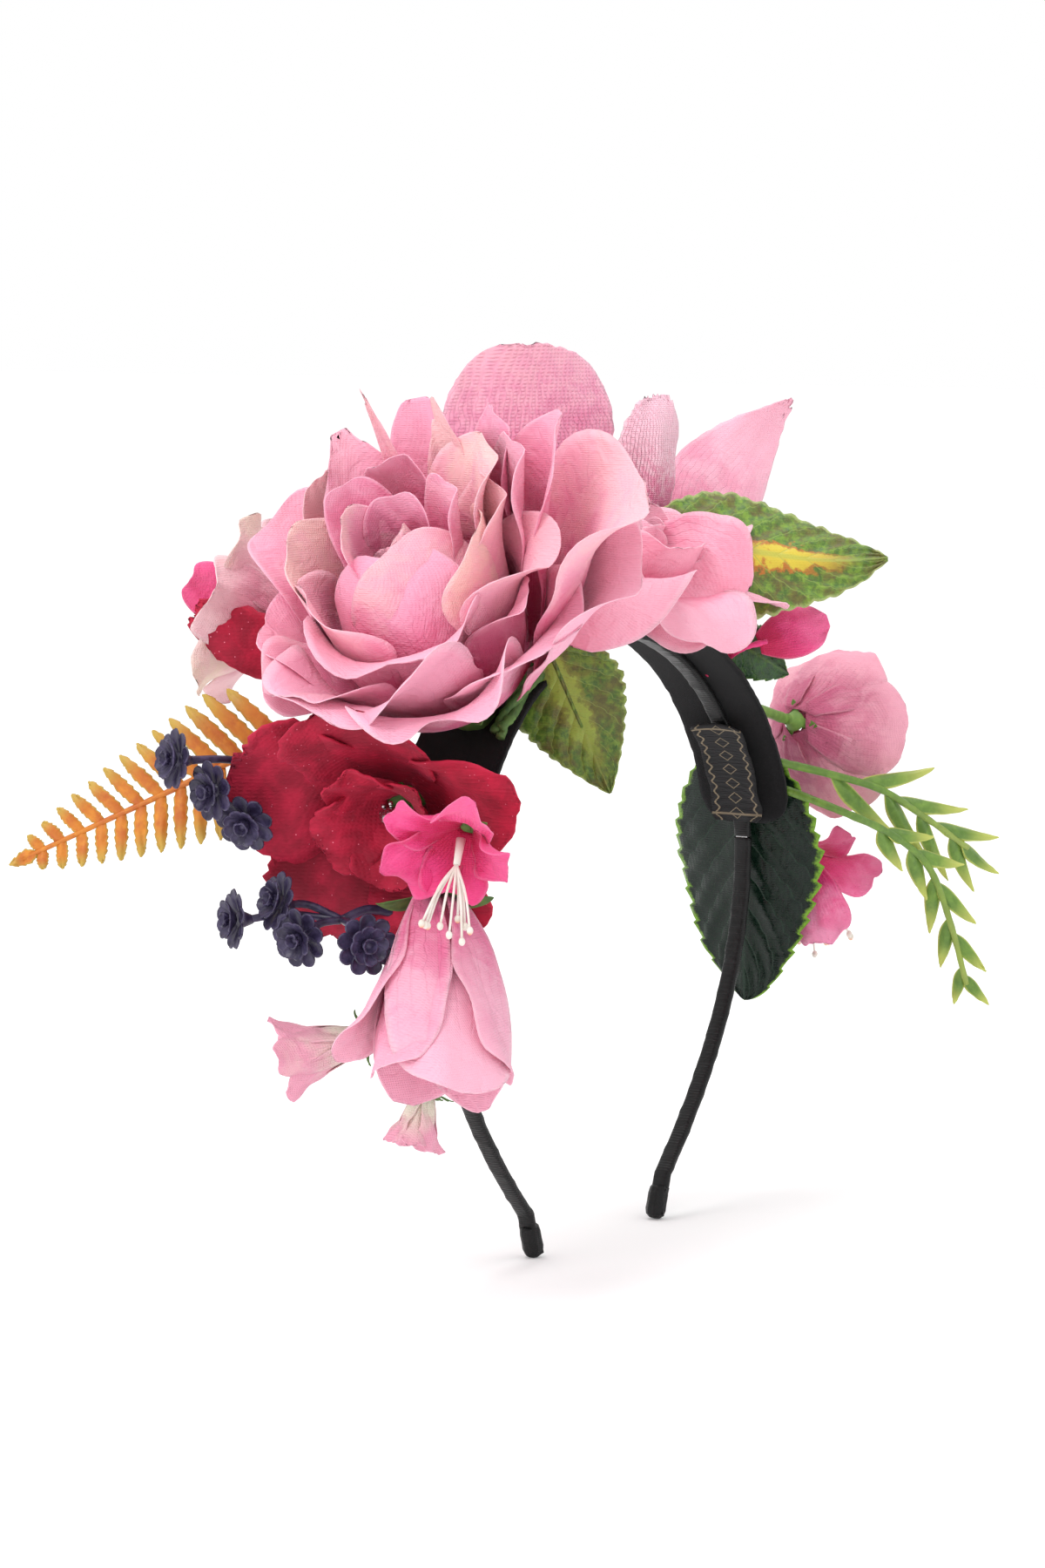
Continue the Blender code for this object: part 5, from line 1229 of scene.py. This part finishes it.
def fuchsia(name, petals, seed, droop):
    """A hot pink flower with its calyx and its bunch of thin stamens."""
    node, calyx_node, stamens_node = name + "_petals", name + "_calyx", name + "_stamens"
    place = facing_place(calyx_node, node)
    flower(name + "_silk", place, petals, HOT_SILK, "crown", [node], "petal_hot", seed=seed)
    calyx(name + "_stem", calyx_node, place, "crown", 1.1 * MM, 2.4 * MM, 5 * MM, seed=seed)
    stamens = Piece(name + "_threads")
    chance = random.Random(seed)
    tip = middle(stamens_node)
    far = max(points_of(stamens_node), key=lambda p: (p - place.translation).length)
    reach = (far - place.translation).length
    ahead = ((tip - place.translation).normalized() - VIEW_UP * droop).normalized()
    throat = place @ Vector((0, 0, 4 * MM))
    mouth = throat + ahead * reach * 0.3
    tube(stamens, [throat, throat.lerp(mouth, 0.5), mouth], 1.1 * MM, sides=12, taper=0.7)
    for number in range(9):
        turn = math.tau * number / 9 + chance.uniform(-0.3, 0.3)
        spread = (VIEW_RIGHT * math.cos(turn) + VIEW_UP * math.sin(turn) * 0.5) * chance.uniform(0.2, 0.65)
        end = mouth + (ahead + spread).normalized() * reach * chance.uniform(0.6, 0.9)
        bend = mouth.lerp(end, 0.5) + spread * 1.6 * MM + VIEW_UP * chance.uniform(0, 1.5) * MM
        tube(stamens, round_route([mouth, bend, end], 5), 0.36 * MM, sides=6, taper=0.8)
        bead(stamens, end, 0.75 * MM, steps=6, squash=1.3, patch=1.0 if number % 2 else 0.0)
    stamens.finish(STAMEN, "crown", [stamens_node])


fuchsia("left_fuchsia", [
    (-30, 1.5, 0, cut(21, 15, 40, 66, wrap=10, hook=24, ruffle=1.6, tint=0.7, patch=0.3)),
    (48, 1.5, 0, cut(18, 14, 44, 74, wrap=10, hook=30, ruffle=1.4, tint=0.5, patch=0.2)),
    (112, 1.5, 0, cut(20, 18, 44, 78, wrap=12, hook=24, ruffle=2.0, tint=0.5, patch=0.2)),
    (160, 1.5, 0, cut(16, 17, 44, 76, wrap=12, hook=24, ruffle=2.0, tint=0.35)),
    (-104, 1.5, 0, cut(16, 13, 34, 58, wrap=9, hook=20, ruffle=1.4, tint=0.5, patch=0.2)),
], seed=240, droop=1.1)

# ---------------------------------------------------------------- the drooping rose and the small blossoms

DROOPING = turned_flower_place("drooping_rose_calyx", "drooping_rose_inner_petals")

flower("drooping_inner_silk", DROOPING, [
    (-10, 3, 1, cut(38, 18, 8, 2, wrap=10, hook=-20, ruffle=1.0, tint=0.4)),
    (110, 3, 1, cut(38, 18, 8, 2, wrap=10, hook=-20, ruffle=1.0, tint=0.3)),
    (230, 3, 1, cut(38, 18, 8, 2, wrap=10, hook=-20, ruffle=1.0, tint=0.5)),
], DROOPING_SATIN, "left_leg", ["drooping_rose_inner_petals"], "petal_pink", seed=260)

flower("drooping_outer_silk", DROOPING, [
    (-22, 4, 0, cut(57, 34, 24, -6, wrap=19, hook=8, ruffle=1.0, broad=0.6, tip=2.2, tint=0.75, patch=0.15)),
    (-78, 4, 1, cut(48, 26, 24, 2, wrap=17, hook=10, ruffle=1.4, broad=0.6, tint=0.5, patch=0.1)),
    (44, 4, 1, cut(50, 26, 22, 2, wrap=16, hook=18, ruffle=1.4, broad=0.58, tint=0.5)),
    (88, 4, 0, cut(
        44, 26, 26, 16, wrap=17, hook=30, ruffle=1.8, broad=0.56, tip=1.8, point=0.7, tint=0.6, patch=0.1,
    )),
    (150, 4, 0, cut(46, 26, 22, 4, wrap=16, hook=14, ruffle=1.6, broad=0.6, tint=0.45)),
    (218, 4, 0, cut(48, 26, 22, 4, wrap=16, hook=14, ruffle=1.6, broad=0.6, tint=0.5)),
], DROOPING_SATIN, "left_leg", ["drooping_rose_outer_petals"], "petal_pink", seed=270)

calyx("drooping_stem", "drooping_rose_calyx", DROOPING, "left_leg", 1.6 * MM, 4.4 * MM, 12 * MM, seed=41)


def small_blossom(name, radius, length, seed):
    """A half-open blossom: cream at its root and pink at its round tips."""
    node, calyx_node = name + "_petals", name + "_calyx"
    place = turned_flower_place(calyx_node, node)
    petals = [
        (turn, 0.8, 0, cut(
            length, radius * 1.25, 26, 14, wrap=radius * 0.62, hook=26, ruffle=0.7,
            tint=0.4 + 0.05 * number, patch=0.1,
        ))
        for number, turn in enumerate((4, 76, 148, 220, 292))
    ]
    flower(name + "_silk", place, petals, BLOSSOM_SILK, "left_leg", [node], "petal_pale", seed=seed)
    calyx(name + "_stem", calyx_node, place, "left_leg", 1.1 * MM, 2.5 * MM, 6 * MM, seed=seed)


small_blossom("rear_blossom", 9.5, 23, 300)
small_blossom("low_blossom", 7.5, 15, 310)

# ---------------------------------------------------------------- the pale flower behind and the right blooms

PALE = turned_flower_place("pale_flower_calyx", "pale_flower_heart")

flower("pale_outer_silk", PALE, [
    (turn, 3, 0, cut(
        26, 23, 44, 58, wrap=16, hook=20, ruffle=1.8, tint=0.45 + 0.12 * (number % 3),
        patch=0.9 * (number % 2),
    ))
    for number, turn in enumerate((0, 60, 120, 180, 240, 300))
], PALE_SILK, "crown", ["pale_flower_petals"], "petal_pale", seed=330)
flower("pale_heart_silk", PALE, [
    (turn, 2, 1, cut(15, 12, 16, 8, wrap=6, hook=14, ruffle=1.0, tint=0.4, patch=0.6))
    for turn in (20, 92, 164, 236, 308)
], DUSTY_SILK, "crown", ["pale_flower_heart"], "petal_dusty", seed=340)


def tucked_petal(name, root, tip, material, slot, seed, **shape):
    """A loose petal glued in behind the peony, from a root to a tip in mm."""
    root, tip = Vector(root) * MM, Vector(tip) * MM
    piece = Piece(name)
    shape = cut((tip - root).length / MM, **shape)
    sheet_of_cloth(piece, turned_to(tip - root, TOWARDS_VIEWER, root), seed=seed, **shape)
    laid = piece.cloth_area()
    twisted_root(name + "_root", root, (tip - root).normalized(), 0.7 * MM, material)
    made = piece.finish(material, "crown", thickness=CLOTH)


tucked_petal(
    "crimson_side_petal", (-60, 40, 139), (-79, 61, 155), CRIMSON_VELVET, "petal_crimson", 345, width=15,
    wrap=14, lean_from=8, lean_to=-8, hook=-20, ruffle=1.6, ragged=0.06, tint=0.5, broad=0.5,
)
tucked_petal(
    "hot_side_petal", (-50, 56, 149), (-62, 75, 161), HOT_SILK, "petal_hot", 346, width=15, wrap=12,
    lean_from=0, lean_to=10, hook=14, ruffle=1.2, tint=0.6, patch=0.2,
)
calyx("pale_stem", "pale_flower_calyx", PALE, "crown", 1.3 * MM, 4 * MM, 7 * MM, seed=51)

RIGHT_BLOOM = turned_flower_place("right_bloom_calyx", "right_bloom_inner_petals")

flower("right_bloom_silk", RIGHT_BLOOM, [
    (turn, 3, 0, cut(
        27, 28, 56, 42, wrap=17, hook=-12, ruffle=1.4, tip=3, tint=0.5 + 0.12 * (number % 3),
        patch=0.4 * (number % 2),
    ))
    for number, turn in enumerate((-14, 58, 130, 202, 274))
], DUSTY_SILK, "crown", ["right_bloom_petals"], "petal_dusty", seed=350)
flower("right_bloom_inner_silk", RIGHT_BLOOM, [
    (turn, 2, 1, cut(19, 18, 28, 22, wrap=11, hook=20, ruffle=1.2, tint=0.35 + 0.1 * (number % 3), patch=0.3))
    for number, turn in enumerate((20, 92, 164, 236, 308))
], DUSTY_SILK, "crown", ["right_bloom_inner_petals"], "petal_dusty", seed=360)
calyx(
    "right_bloom_stem", "right_bloom_calyx", RIGHT_BLOOM, "crown", 1.3 * MM, 2.6 * MM, 5 * MM,
    material=BARE_STEM, sepals=3, seed=61,
)

fuchsia("right_fuchsia", [
    (10, 1.5, 0, cut(17, 14, 42, 66, wrap=11, hook=26, ruffle=1.4, tint=0.5, patch=0.4)),
    (82, 1.5, 0, cut(21, 14, 42, 66, wrap=11, hook=26, ruffle=1.4, tint=0.6, patch=0.7)),
    (150, 1.5, 0, cut(25, 16, 42, 70, wrap=12, hook=16, ruffle=1.6, tint=0.8, patch=1.0)),
    (226, 1.5, 0, cut(18, 14, 42, 66, wrap=11, hook=26, ruffle=1.4, tint=0.5, patch=0.4)),
    (298, 1.5, 0, cut(17, 14, 42, 66, wrap=11, hook=26, ruffle=1.4, tint=0.4, patch=0.3)),
], seed=380, droop=0.7)

# ---------------------------------------------------------------- leaves, fern, florets and greenery


def leaf(name, node, near, material, slot, body, seed, reach=1.0, shift=(0, 0), tilt=0.0, stem=0.0, **shape):
    """A printed leaf set where its CAD node is, from its root near a point, with a wire glued behind it."""
    place, length = blade_place(node, near)
    place = nudged(place, shift, tilt)
    length *= reach
    piece = Piece(name)
    shape = in_metres(shape)
    sheet_of_cloth(piece, place, length, seed=seed, **shape)
    laid = piece.cloth_area()
    if stem:
        ridge = [place @ Vector((0.2 * MM, 0, length * step / 12)) for step in range(8)]
        tube(piece, ridge, stem, taper=0.4)
    made = piece.finish(material, body, [node], thickness=WAXED_CLOTH)


leaf(
    "variegated_leaf_cloth", "variegated_leaf", joint_place("variegated_leaf_bend"), GREEN_LEAF, "leaf_green",
    "variegated_leaf", 401, reach=1.10, shift=(-9, 2), tilt=9, width=38, wrap=44, broad=0.36, tip=1.35,
    point=0.95, stalk=0.12, teeth=17, tooth=0.09, scallop=True, quilt=0.9, ruffle=1.4, lean_from=-8,
    lean_to=10, hook=12, rows=88, columns=28, tint=0.6, patch=1.0,
)
piece = Piece("variegated_leaf_stem")
tube(
    piece, round_route(centre_line("variegated_leaf_wire", joint_place("variegated_leaf_bend"))),
    0.9 * MM, knots=0.2,
)
piece.finish(BARE_STEM, "crown", ["variegated_leaf_wire"])

leaf(
    "hanging_leaf_cloth", "hanging_leaf", joint_place("hanging_leaf_bend"), HANGING_LEAF_CLOTH, "leaf_green",
    "hanging_leaf", 411, reach=1.15, shift=(-6, 9), tilt=-6, width=28, wrap=30, broad=0.38, tip=1.35,
    point=0.95, stalk=0.15, teeth=14, tooth=0.09, scallop=True, quilt=0.6, lean_from=-4, lean_to=8, rows=60,
    columns=18, tint=0.5, patch=0.7, stem=0.5 * MM,
)
leaf(
    "shoulder_leaf_cloth", "shoulder_leaf", Vector((46 * MM, -6 * MM, 147 * MM)), SHOULDER_LEAF,
    "leaf_green", "crown", 421, width=14, wrap=16, broad=0.45, tip=1.7, point=0.8, stalk=0.2, teeth=10,
    tooth=0.14, quilt=0.5, rows=60, columns=16, lean_from=0, lean_to=12, tint=0.4, stem=0.5 * MM,
)
leaf(
    "broad_leaf_cloth", "broad_leaf", Vector((74 * MM, 0, 121 * MM)), DARK_LEAF, "leaf_dark", "crown", 431,
    shift=(-0.9, 0), width=42, wrap=60, broad=0.42, tip=1.9, point=0.7, stalk=0.2, teeth=16, tooth=0.10,
    quilt=0.7, rows=96, columns=28, lean_from=2, lean_to=-6, ruffle=1.4, tint=0.3, stem=0.9 * MM,
)

FERN_ROOT = joint_place("fern_bend")
FERN_AHEAD = Vector((-0.44, 0.858, -0.264)).normalized()
FERN_SIDE = Vector((0.041, 0.313, 0.949)).normalized()
FERN_FACE = FERN_SIDE.cross(FERN_AHEAD)
if FERN_FACE.dot(TOWARDS_VIEWER) < 0:
    FERN_FACE = -FERN_FACE
FERN_BASE = FERN_ROOT + FERN_AHEAD * 28 * MM + Vector((0, 0, 12 * MM))
FERN_TIP = FERN_ROOT + FERN_AHEAD * 93 * MM
FERN_AHEAD = (FERN_TIP - FERN_BASE).normalized()
FERN_SIDE = FERN_AHEAD.cross(FERN_FACE)
FERN_PAIRS = 13

piece = Piece("fern_blade")
FERN_RISE = FERN_ROOT.lerp(FERN_BASE, 0.5) + Vector((0, 0, 3 * MM))
FERN_WAY = [FERN_ROOT, FERN_RISE, FERN_BASE, FERN_BASE.lerp(FERN_TIP, 0.5), FERN_TIP]
tube(piece, round_route(FERN_WAY), 0.9 * MM, taper=0.35)
for number in range(FERN_PAIRS):
    share = (number + 0.4) / FERN_PAIRS
    reach = (17.5 * (1 - share) ** 0.75 + 3.0) * smooth(-0.3, 0.12, share)
    root = FERN_BASE.lerp(FERN_TIP, share * 0.97)
    for side in (-1, 1):
        towards = (FERN_SIDE * side + FERN_AHEAD * 0.42 + FERN_FACE * 0.10).normalized()
        place = turned_to(towards, FERN_FACE, root)
        sheet_of_cloth(
            piece, place, reach * MM, (2.5 + 1.1 * (1 - share)) * MM, lean_from=8, lean_to=-10, hook=-14,
            wrap=6 * MM, broad=0.3, tip=2.6, point=0.6, stalk=0.7, teeth=6, tooth=0.28, rows=36, columns=8,
            wobble=0.5 * MM, tint=0.5, patch=1.0, fold=0.25, seed=450 + number * 2 + side,
        )
sheet_of_cloth(
    piece, turned_to(FERN_AHEAD, FERN_FACE, FERN_BASE.lerp(FERN_TIP, 0.95)), 7 * MM, 3.4 * MM,
    broad=0.3, tip=1.6, point=0.8, teeth=4, tooth=0.3, rows=24, columns=8, patch=1.0, seed=480,
)
piece.finish(FERN_ORANGE, "fern", ["fern_frond"], thickness=MOULDED)


# Each tier of a floret: its petals, how far out and up they grow, their reach and their lean.
# The lengths are shares of the floret's radius.
FLORET_TIERS = ((9, 0.2, 0.0, 1.0, 74), (8, 0.16, 0.22, 0.74, 52), (5, 0.08, 0.4, 0.4, 26))


def floret(piece, centre, axis, radius, seed, spin=0.0):
    """A small plum rosette: three tiers of round petals about a cup."""
    place = turned_to(axis, VIEW_UP, centre) @ Matrix.Rotation(spin, 4, "Z")
    for tier, (count, out, up, reach, lean) in enumerate(FLORET_TIERS):
        for number in range(count):
            turn = 360 * (number + 0.5 * tier) / count
            petal(
                piece, place, turn, (
                    out * radius, up * radius,
                ), length=radius * reach, width=radius * (0.66 - 0.1 * tier),
                lean_from=lean, lean_to=lean + 8, hook=-18, wrap=radius * 0.55, broad=0.68, tip=2.6,
                stalk=0.5, rows=8, columns=8, wobble=0.1 * MM, tint=0.5, seed=seed + tier * 10 + number,
            )
    bead(piece, place @ Vector((0, 0, 0.35 * radius)), radius * 0.2, steps=8)
    spun(
        piece, place,
        [(0.34 * radius, 0.05 * radius), (0.28 * radius, -0.15 * radius), (0.14 * radius, -0.5 * radius)],
        steps=12,
    )


def floret_spray(name, joint, node, body, fork, heads, radius, seed):
    """Plum florets on curved stems that fork from one wire."""
    piece = Piece(name)
    root = joint_place(joint)
    fork = root + Vector(fork) * MM
    rise = root.lerp(fork, 0.5) + Vector((0, 0, 1.5 * MM))
    tube(piece, round_route([root, rise, fork]), 0.95 * MM, knots=0.2, seed=seed)
    for number, (x, y, z, face) in enumerate(heads):
        centre = root + Vector((x, y, z)) * MM
        bend = fork.lerp(centre, 0.55) + Vector((1.5, 1.0, 1.0)) * MM
        axis = (TOWARDS_VIEWER * 0.55 + (centre - fork).normalized() + VIEW_RIGHT * face).normalized()
        tube(
            piece, round_route([fork, bend, centre - axis * radius * 0.3]), 0.75 * MM, knots=0.2,
            seed=seed + number,
        )
        floret(piece, centre, axis, radius, seed + 30 * number, spin=number * 0.7)
    piece.finish(PLUM, body, [node], thickness=0.4 * MM)


floret_spray("upper_floret_spray", "upper_florets_bend", "upper_spray", "upper_florets", (-14, 18.5, 2), [
    (-37, 35, 6, -0.5), (-33, 28, -1, -0.2), (-29, 22, -8, 0.2),
], 6.0 * MM, 500)
floret_spray("lower_floret_spray", "lower_florets_bend", "lower_spray", "lower_florets", (-10, 7, -1), [
    (-22, 27, -1, -0.2), (-18, 18, 3, 0.0), (-20, 11, -4, 0.1), (-28, -12, -3, 0.3),
], 6.0 * MM, 600)


def greenery(name, joint, node, body, stops, leaves, seed):
    """A stem of slim leaves: each leaf is its share along the stem, side, length and width."""
    piece = Piece(name)
    root = joint_place(joint)
    route = round_route([root, *(root + Vector(stop) * MM for stop in stops)])
    tube(piece, route, 0.9 * MM, taper=0.6, knots=0.3, seed=seed, patch=0.4)
    for number, (share, side, length, width, rise) in enumerate(leaves):
        spot = min(len(route) - 2, int(share * (len(route) - 1)))
        ahead = (route[spot + 1] - route[spot]).normalized()
        aside = ahead.cross(TOWARDS_VIEWER).normalized() * side
        towards = ahead * 0.95 + aside * 0.5 + Vector((0, 0, rise - 0.1))
        face = TOWARDS_VIEWER + Vector((0, 0, 0.4))
        sheet_of_cloth(
            piece, turned_to(
                towards, face, route[spot],
            ), length * MM, width * MM, lean_from=-12, lean_to=14, hook=14,
            wrap=width * 0.8 * MM, broad=0.35, tip=1.4, point=0.85, stalk=0.25, rows=22, columns=8,
            wobble=0.5 * MM, fold=0.2, patch=1.0, tint=0.5, seed=seed + number,
        )
    piece.finish(SPRAY_GREEN, body, [node], thickness=0.4 * MM)


greenery("narrow_leaf_stem", "narrow_leaves_bend", "narrow_leaf_spray", "narrow_leaves", [
    (8, -9, -3), (22, -17, -8), (36, -22, -16), (50, -27, -25),
], [
    (0.3, 1, 24, 4.6, 0.1), (0.42, -1, 22, 4.4, 0.0), (0.55, 1, 24, 4.6, 0.15), (0.62, -1, 22, 4.4, -0.1),
    (0.74, 1, 22, 4.2, 0.1), (0.82, -1, 20, 4.2, -0.1), (0.93, 1, 18, 4.0, 0.1), (0.97, 0, 15, 3.8, 0.0),
], 700)
greenery("trailing_leaf_stem", "trailing_leaves_bend", "trailing_spray", "trailing_leaves", [
    (3, -15, -5), (18, -21, -12), (30, -25, -21), (36, -28, -35), (40, -31, -52),
], [
    (0.35, 1, 15, 4.4, 0.1), (0.38, -1, 15, 4.4, -0.1), (0.5, 1, 16, 4.4, 0.1), (0.53, -1, 15, 4.4, 0.0),
    (0.66, 1, 15, 4.2, 0.0), (0.69, -1, 15, 4.2, -0.1), (0.82, 1, 13, 4.0, 0.0), (0.85, -1, 13, 4.0, 0.0),
    (0.97, 1, 10, 3.4, 0.0), (0.985, -1, 10, 3.4, 0.0),
], 720)

# ---------------------------------------------------------------- the taped stems

piece = Piece("taped_stems")
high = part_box("taped_stem_bundle")[1]
bundle = round_route(centre_line("taped_stem_bundle", high, bins=8))
for number in range(3):
    turn = math.tau * number / 3
    route = [
        place + Vector((0, math.cos(turn + step * 0.12), math.sin(turn + step * 0.12))) * 1.1 * MM
        for step, place in enumerate(bundle)
    ]
    tube(piece, route, 1.15 * MM, knots=0.35, seed=number)
piece.finish(STEM_TAPE, "crown", ["taped_stem_bundle"])

# ---------------------------------------------------------------- the studio

floor_mesh = bpy.data.meshes.new("floor")
floor_mesh.from_pydata([(-6, -6, 0), (6, -6, 0), (6, 6, 0), (-6, 6, 0)], [], [(0, 1, 2, 3)])
floor = bpy.data.objects.new("floor", floor_mesh)
bpy.context.scene.collection.objects.link(floor)
floor_paint, floor_wiring, floor_shader = new_finish(
    "floor_paint", Roughness=0.8, Emission_Color=(1.0, 1.0, 1.0, 1.0), Emission_Strength=0.12,
)
floor_cloud = floor_wiring.cloud(floor_wiring.where(), 3.0, 2.0)
floor_wiring.join(
    floor_wiring.blend(floor_cloud, (0.90, 0.90, 0.90), (0.92, 0.92, 0.92)), floor_shader["Base Color"],
)
floor_mesh.materials.append(floor_paint)

world = bpy.data.worlds.new("studio_air")
world.use_nodes = True
world.node_tree.nodes["Background"].inputs["Color"].default_value = (1.0, 1.0, 1.0, 1.0)
world.node_tree.nodes["Background"].inputs["Strength"].default_value = 1.0
bpy.context.scene.world = world


def soft_light(name, place, size, watts):
    lamp = bpy.data.lights.new(name, "AREA")
    lamp.shape = "DISK"
    lamp.size = size
    lamp.energy = watts
    made = bpy.data.objects.new(name, lamp)
    made.location = place
    made.rotation_euler = (LOOK_AT - Vector(place)).to_track_quat("-Z", "Y").to_euler()
    bpy.context.scene.collection.objects.link(made)


soft_light("key_light", TOWARDS_VIEWER * 0.9 - VIEW_RIGHT * 0.7 + Vector((0, 0, 1.1)), 0.7, 8)
soft_light("top_light", Vector((0.1, 0.1, 1.5)), 0.9, 6)

camera = bpy.data.cameras.new("camera")
camera.lens = LENS
camera.sensor_width = SENSOR
camera.shift_x, camera.shift_y = SHIFT
camera.clip_start = 0.05
camera_stand = bpy.data.objects.new("camera", camera)
camera_stand.matrix_world = turned_to(TOWARDS_VIEWER, VIEW_RIGHT, LOOK_AT + TOWARDS_VIEWER * LOOK_FROM)
bpy.context.scene.collection.objects.link(camera_stand)
bpy.context.scene.camera = camera_stand
bpy.context.scene.view_settings.view_transform = "Standard"
